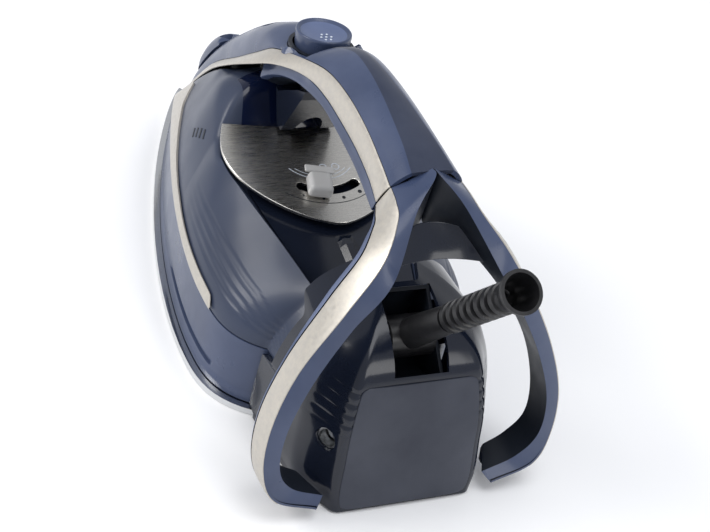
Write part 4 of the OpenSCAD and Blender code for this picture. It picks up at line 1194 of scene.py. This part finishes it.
# ---------------------------------------------------------------- rear fork and heel
class IRON_OT_legs(Piece):
    """Builds the two legs of the rear fork, their bright bands and the panel between them"""

    bl_idname = "iron.legs"
    bl_label = "Rear fork"

    def build(self, sizes):
        for side, name in ((1, "left"), (-1, "right")):
            rows = []
            for u in steps(0, 9, 130):
                o, i, j = along(LEG_OUT, u), along(LEG_IN, u), along(LEG_FRONT, u)
                w, n = along(LEG_ACROSS, u).normalized(), leg_out_dir(u)
                s = o + 11.6 * w
                f = (s + 5 * (0.9 * w - 0.45 * n).normalized()).lerp(j, 0.04)
                pts = [o - 1.5 * n, s - 1.5 * n, s + 0.3 * w, s.lerp(f, 0.5) + 0.25 * n, f, f.lerp(j, 0.5), j,
                       j.lerp(i, 0.33), j.lerp(i, 0.66), i, i.lerp(o, 0.5) - 0.25 * w, o - 0.4 * n]
                ring = [tuple(leg_pt(p, u)) for p in pts]
                rows.append(ring)
            # kind 2, the strip in front of the band, takes the brightened shell: painted light on the same
            # blue plastic
            kinds = [1, 1, 2, 2, 0, 0, 0, 0, 0, 3, 3, 3]
            if side < 0:
                rows = mirrored(rows, side)

            def inside(c):
                r = min(rows, key=lambda q: (Vector(q[6]) - c).length)
                return sum((Vector(p) for p in r), Vector()) / len(r)

            leg = grid("leg_" + name + "_shell", rows, inside, lambda i, j: kinds[j], wrap=True, caps=True)
            finishes = [FINISH[f] for f in ("inner", "dark", "shell_light", "shell")]
            finish_mesh(leg, finishes, "iron", ["leg_" + name],
                        bevel=0.45, angle=32, segments=2)

            rows = []
            for u in steps(0, 8.1, 120):
                o, w, n = along(LEG_OUT, u), along(LEG_ACROSS, u).normalized(), leg_out_dir(u)
                row = [o + LEG_BAND * k / 8 * w + n * 0.3 * crown(k) for k in range(9)]
                rows.append([tuple(leg_pt(q, u)) for q in row])
            ends = [Vector(r[4]) for r in rows]

            def within(c, side=side):
                near = Vector((c.x, side * c.y, c.z))
                k = min(range(len(ends)), key=lambda q: (ends[q] - near).length)
                n = leg_out_dir(8.1 * k / 120)
                return c - Vector((n.x, side * n.y, n.z)) * 5

            band = grid("leg_band_" + name + "_shell", mirrored(rows, side), within)
            finish_mesh(band, [FINISH["band"]], "iron", ["leg_band_" + name],
                        bevel=0.35, thick=1.2, segments=3)

        rows = []
        for i in range(21):
            u = 2.15 + 0.75 * i / 20
            a = along(LEG_IN, u).lerp(along(LEG_FRONT, u), 0.55)
            y = a.y - 0.7
            rows.append([(a.x + 4 * (1 - (k / 10) ** 2), y * k / 10, a.z) for k in range(-10, 11)])
        panel = grid("crotch_panel_shell", rows, lambda c: (c.x - 30, 0, c.z - 10))
        finish_mesh(panel, [FINISH["dark"]], "iron", ["crotch_panel"], bevel=0.2, thick=1.5)


class IRON_OT_heel(Piece):
    """Builds the heel's dome with its ribs and arch, and the satin rear panel"""

    bl_idname = "iron.heel"
    bl_label = "Heel"

    def build(self, sizes):
        rows = []
        for z in steps(0.8, 83, 110):
            q = on_line(HEEL, z)
            f = -112.6 - 9 * (eased((z - 33) / 3) - eased((z - 61) / 7)) - 5.2 * (1 - eased((z - 3.1) / 0.9))
            rx, rw, cx, cw, fw = q
            key = [(f, fw), (lerp(f, cx, 0.35), lerp(fw, cw, 0.35) + 0.3),
                   (lerp(f, cx, 0.8), lerp(fw, cw, 0.8) + 0.25), (cx, cw - 0.15),
                   (lerp(cx, rx, 0.4), lerp(cw, rw, 0.4)), (lerp(cx, rx, 0.75), lerp(cw, rw, 0.72)),
                   (rx + 0.6, rw), (rx, rw * 0.82), (rx, rw * 0.45), (rx, 0)]
            half = smooth_run(key, 4)
            out = []
            for x, y in half:
                # shallow ribs on the facets above and beside the panel
                rib = 0.0
                if 36 < z < 60 and y > 22:
                    rib = 0.55 * (0.5 + 0.5 * math.cos(2 * math.pi * (z - 37) / 4.6)) ** 3
                    rib *= eased((z - 36) / 3) * eased((60 - z) / 3)
                    rib *= eased((-150 - x) / 5) * eased((-151 - x) / 3)
                out.append((x + rib * 0.6, y - rib * 0.7, z))
            rows.append(out + [(x, -y, z) for x, y, z in out[-2::-1]])
        dome = grid("rear_housing_shell", rows, lambda c: (-135, 0, min(c.z, 45)))
        s = dome.modifiers.new("wall", "SOLIDIFY")
        s.thickness, s.offset = sizes.wall, -1
        tools = [drill(20.3, 12.3, 64, Matrix.Translation(PIVOT * MM) @ Matrix.Rotation(math.pi / 2, 4, "X"))]
        for side in (1, -1):
            turn = Matrix.Rotation(math.atan2(side * 0.875, -0.484), 4, "Z")
            lay = Matrix.Rotation(math.pi / 2, 4, "Y")
            tools.append(drill(5, 8, 40, place(-163, side * 36, 31) @ turn @ lay))
        dome.data.materials.append(FINISH["dark"])
        cut(dome, tools)
        finish_mesh(dome, [], "iron", ["rear_housing"], bevel=0.5, angle=40)

        rows = []
        for z in steps(2, 58, 48):
            q = on_line(HEEL, z)
            corner = 3.0
            trim = 0.0
            for edge in (2, 58):
                d = abs(z - edge)
                if d < corner:
                    trim = corner - math.sqrt(max(0, corner**2 - (corner - d) ** 2))
            w = q[1] - 2.2 - trim
            across = [k / 12 for k in range(-12, 13)]
            rows.append([(q[0] - 0.35 - 0.5 * (1 - t**4) ** 0.5, w * t, z) for t in across])
        panel = grid("rear_panel_shell", rows, lambda c: (c.x + 30, 0, c.z))
        finish_mesh(panel, [FINISH["panel"]], "iron", ["rear_panel"],
                    bevel=0.4, thick=1.0, segments=3)


class IRON_PT_panel(bpy.types.Panel):
    """Sizes, colours and the steps that build the iron"""

    bl_idname = "IRON_PT_panel"
    bl_label = "Steam iron"
    bl_space_type = "VIEW_3D"
    bl_region_type = "UI"
    bl_category = "Steam iron"

    def draw(self, context):
        for group in (context.scene.iron_sizes, context.scene.iron_colours):
            for name in group.__annotations__:
                self.layout.prop(group, name)
        for step in STEPS:
            self.layout.operator(step.bl_idname)


STEPS = (
    IRON_OT_stage, IRON_OT_finishes, IRON_OT_tank, IRON_OT_nose_panel, IRON_OT_skirt, IRON_OT_bands,
    IRON_OT_hood, IRON_OT_handle, IRON_OT_button, IRON_OT_plate, IRON_OT_selector, IRON_OT_legs,
    IRON_OT_heel)
CLASSES = (IronSizes, IronColours, *STEPS, IRON_PT_panel)


def register():
    for c in CLASSES:
        bpy.utils.register_class(c)
    bpy.types.Scene.iron_sizes = bpy.props.PointerProperty(type=IronSizes)
    bpy.types.Scene.iron_colours = bpy.props.PointerProperty(type=IronColours)


def unregister():
    del bpy.types.Scene.iron_sizes
    del bpy.types.Scene.iron_colours
    for c in reversed(CLASSES):
        bpy.utils.unregister_class(c)


def main():
    register()
    for step in STEPS:
        group, name = step.bl_idname.split(".")
        getattr(getattr(bpy.ops, group), name)()


if __name__ == "__main__":
    main()
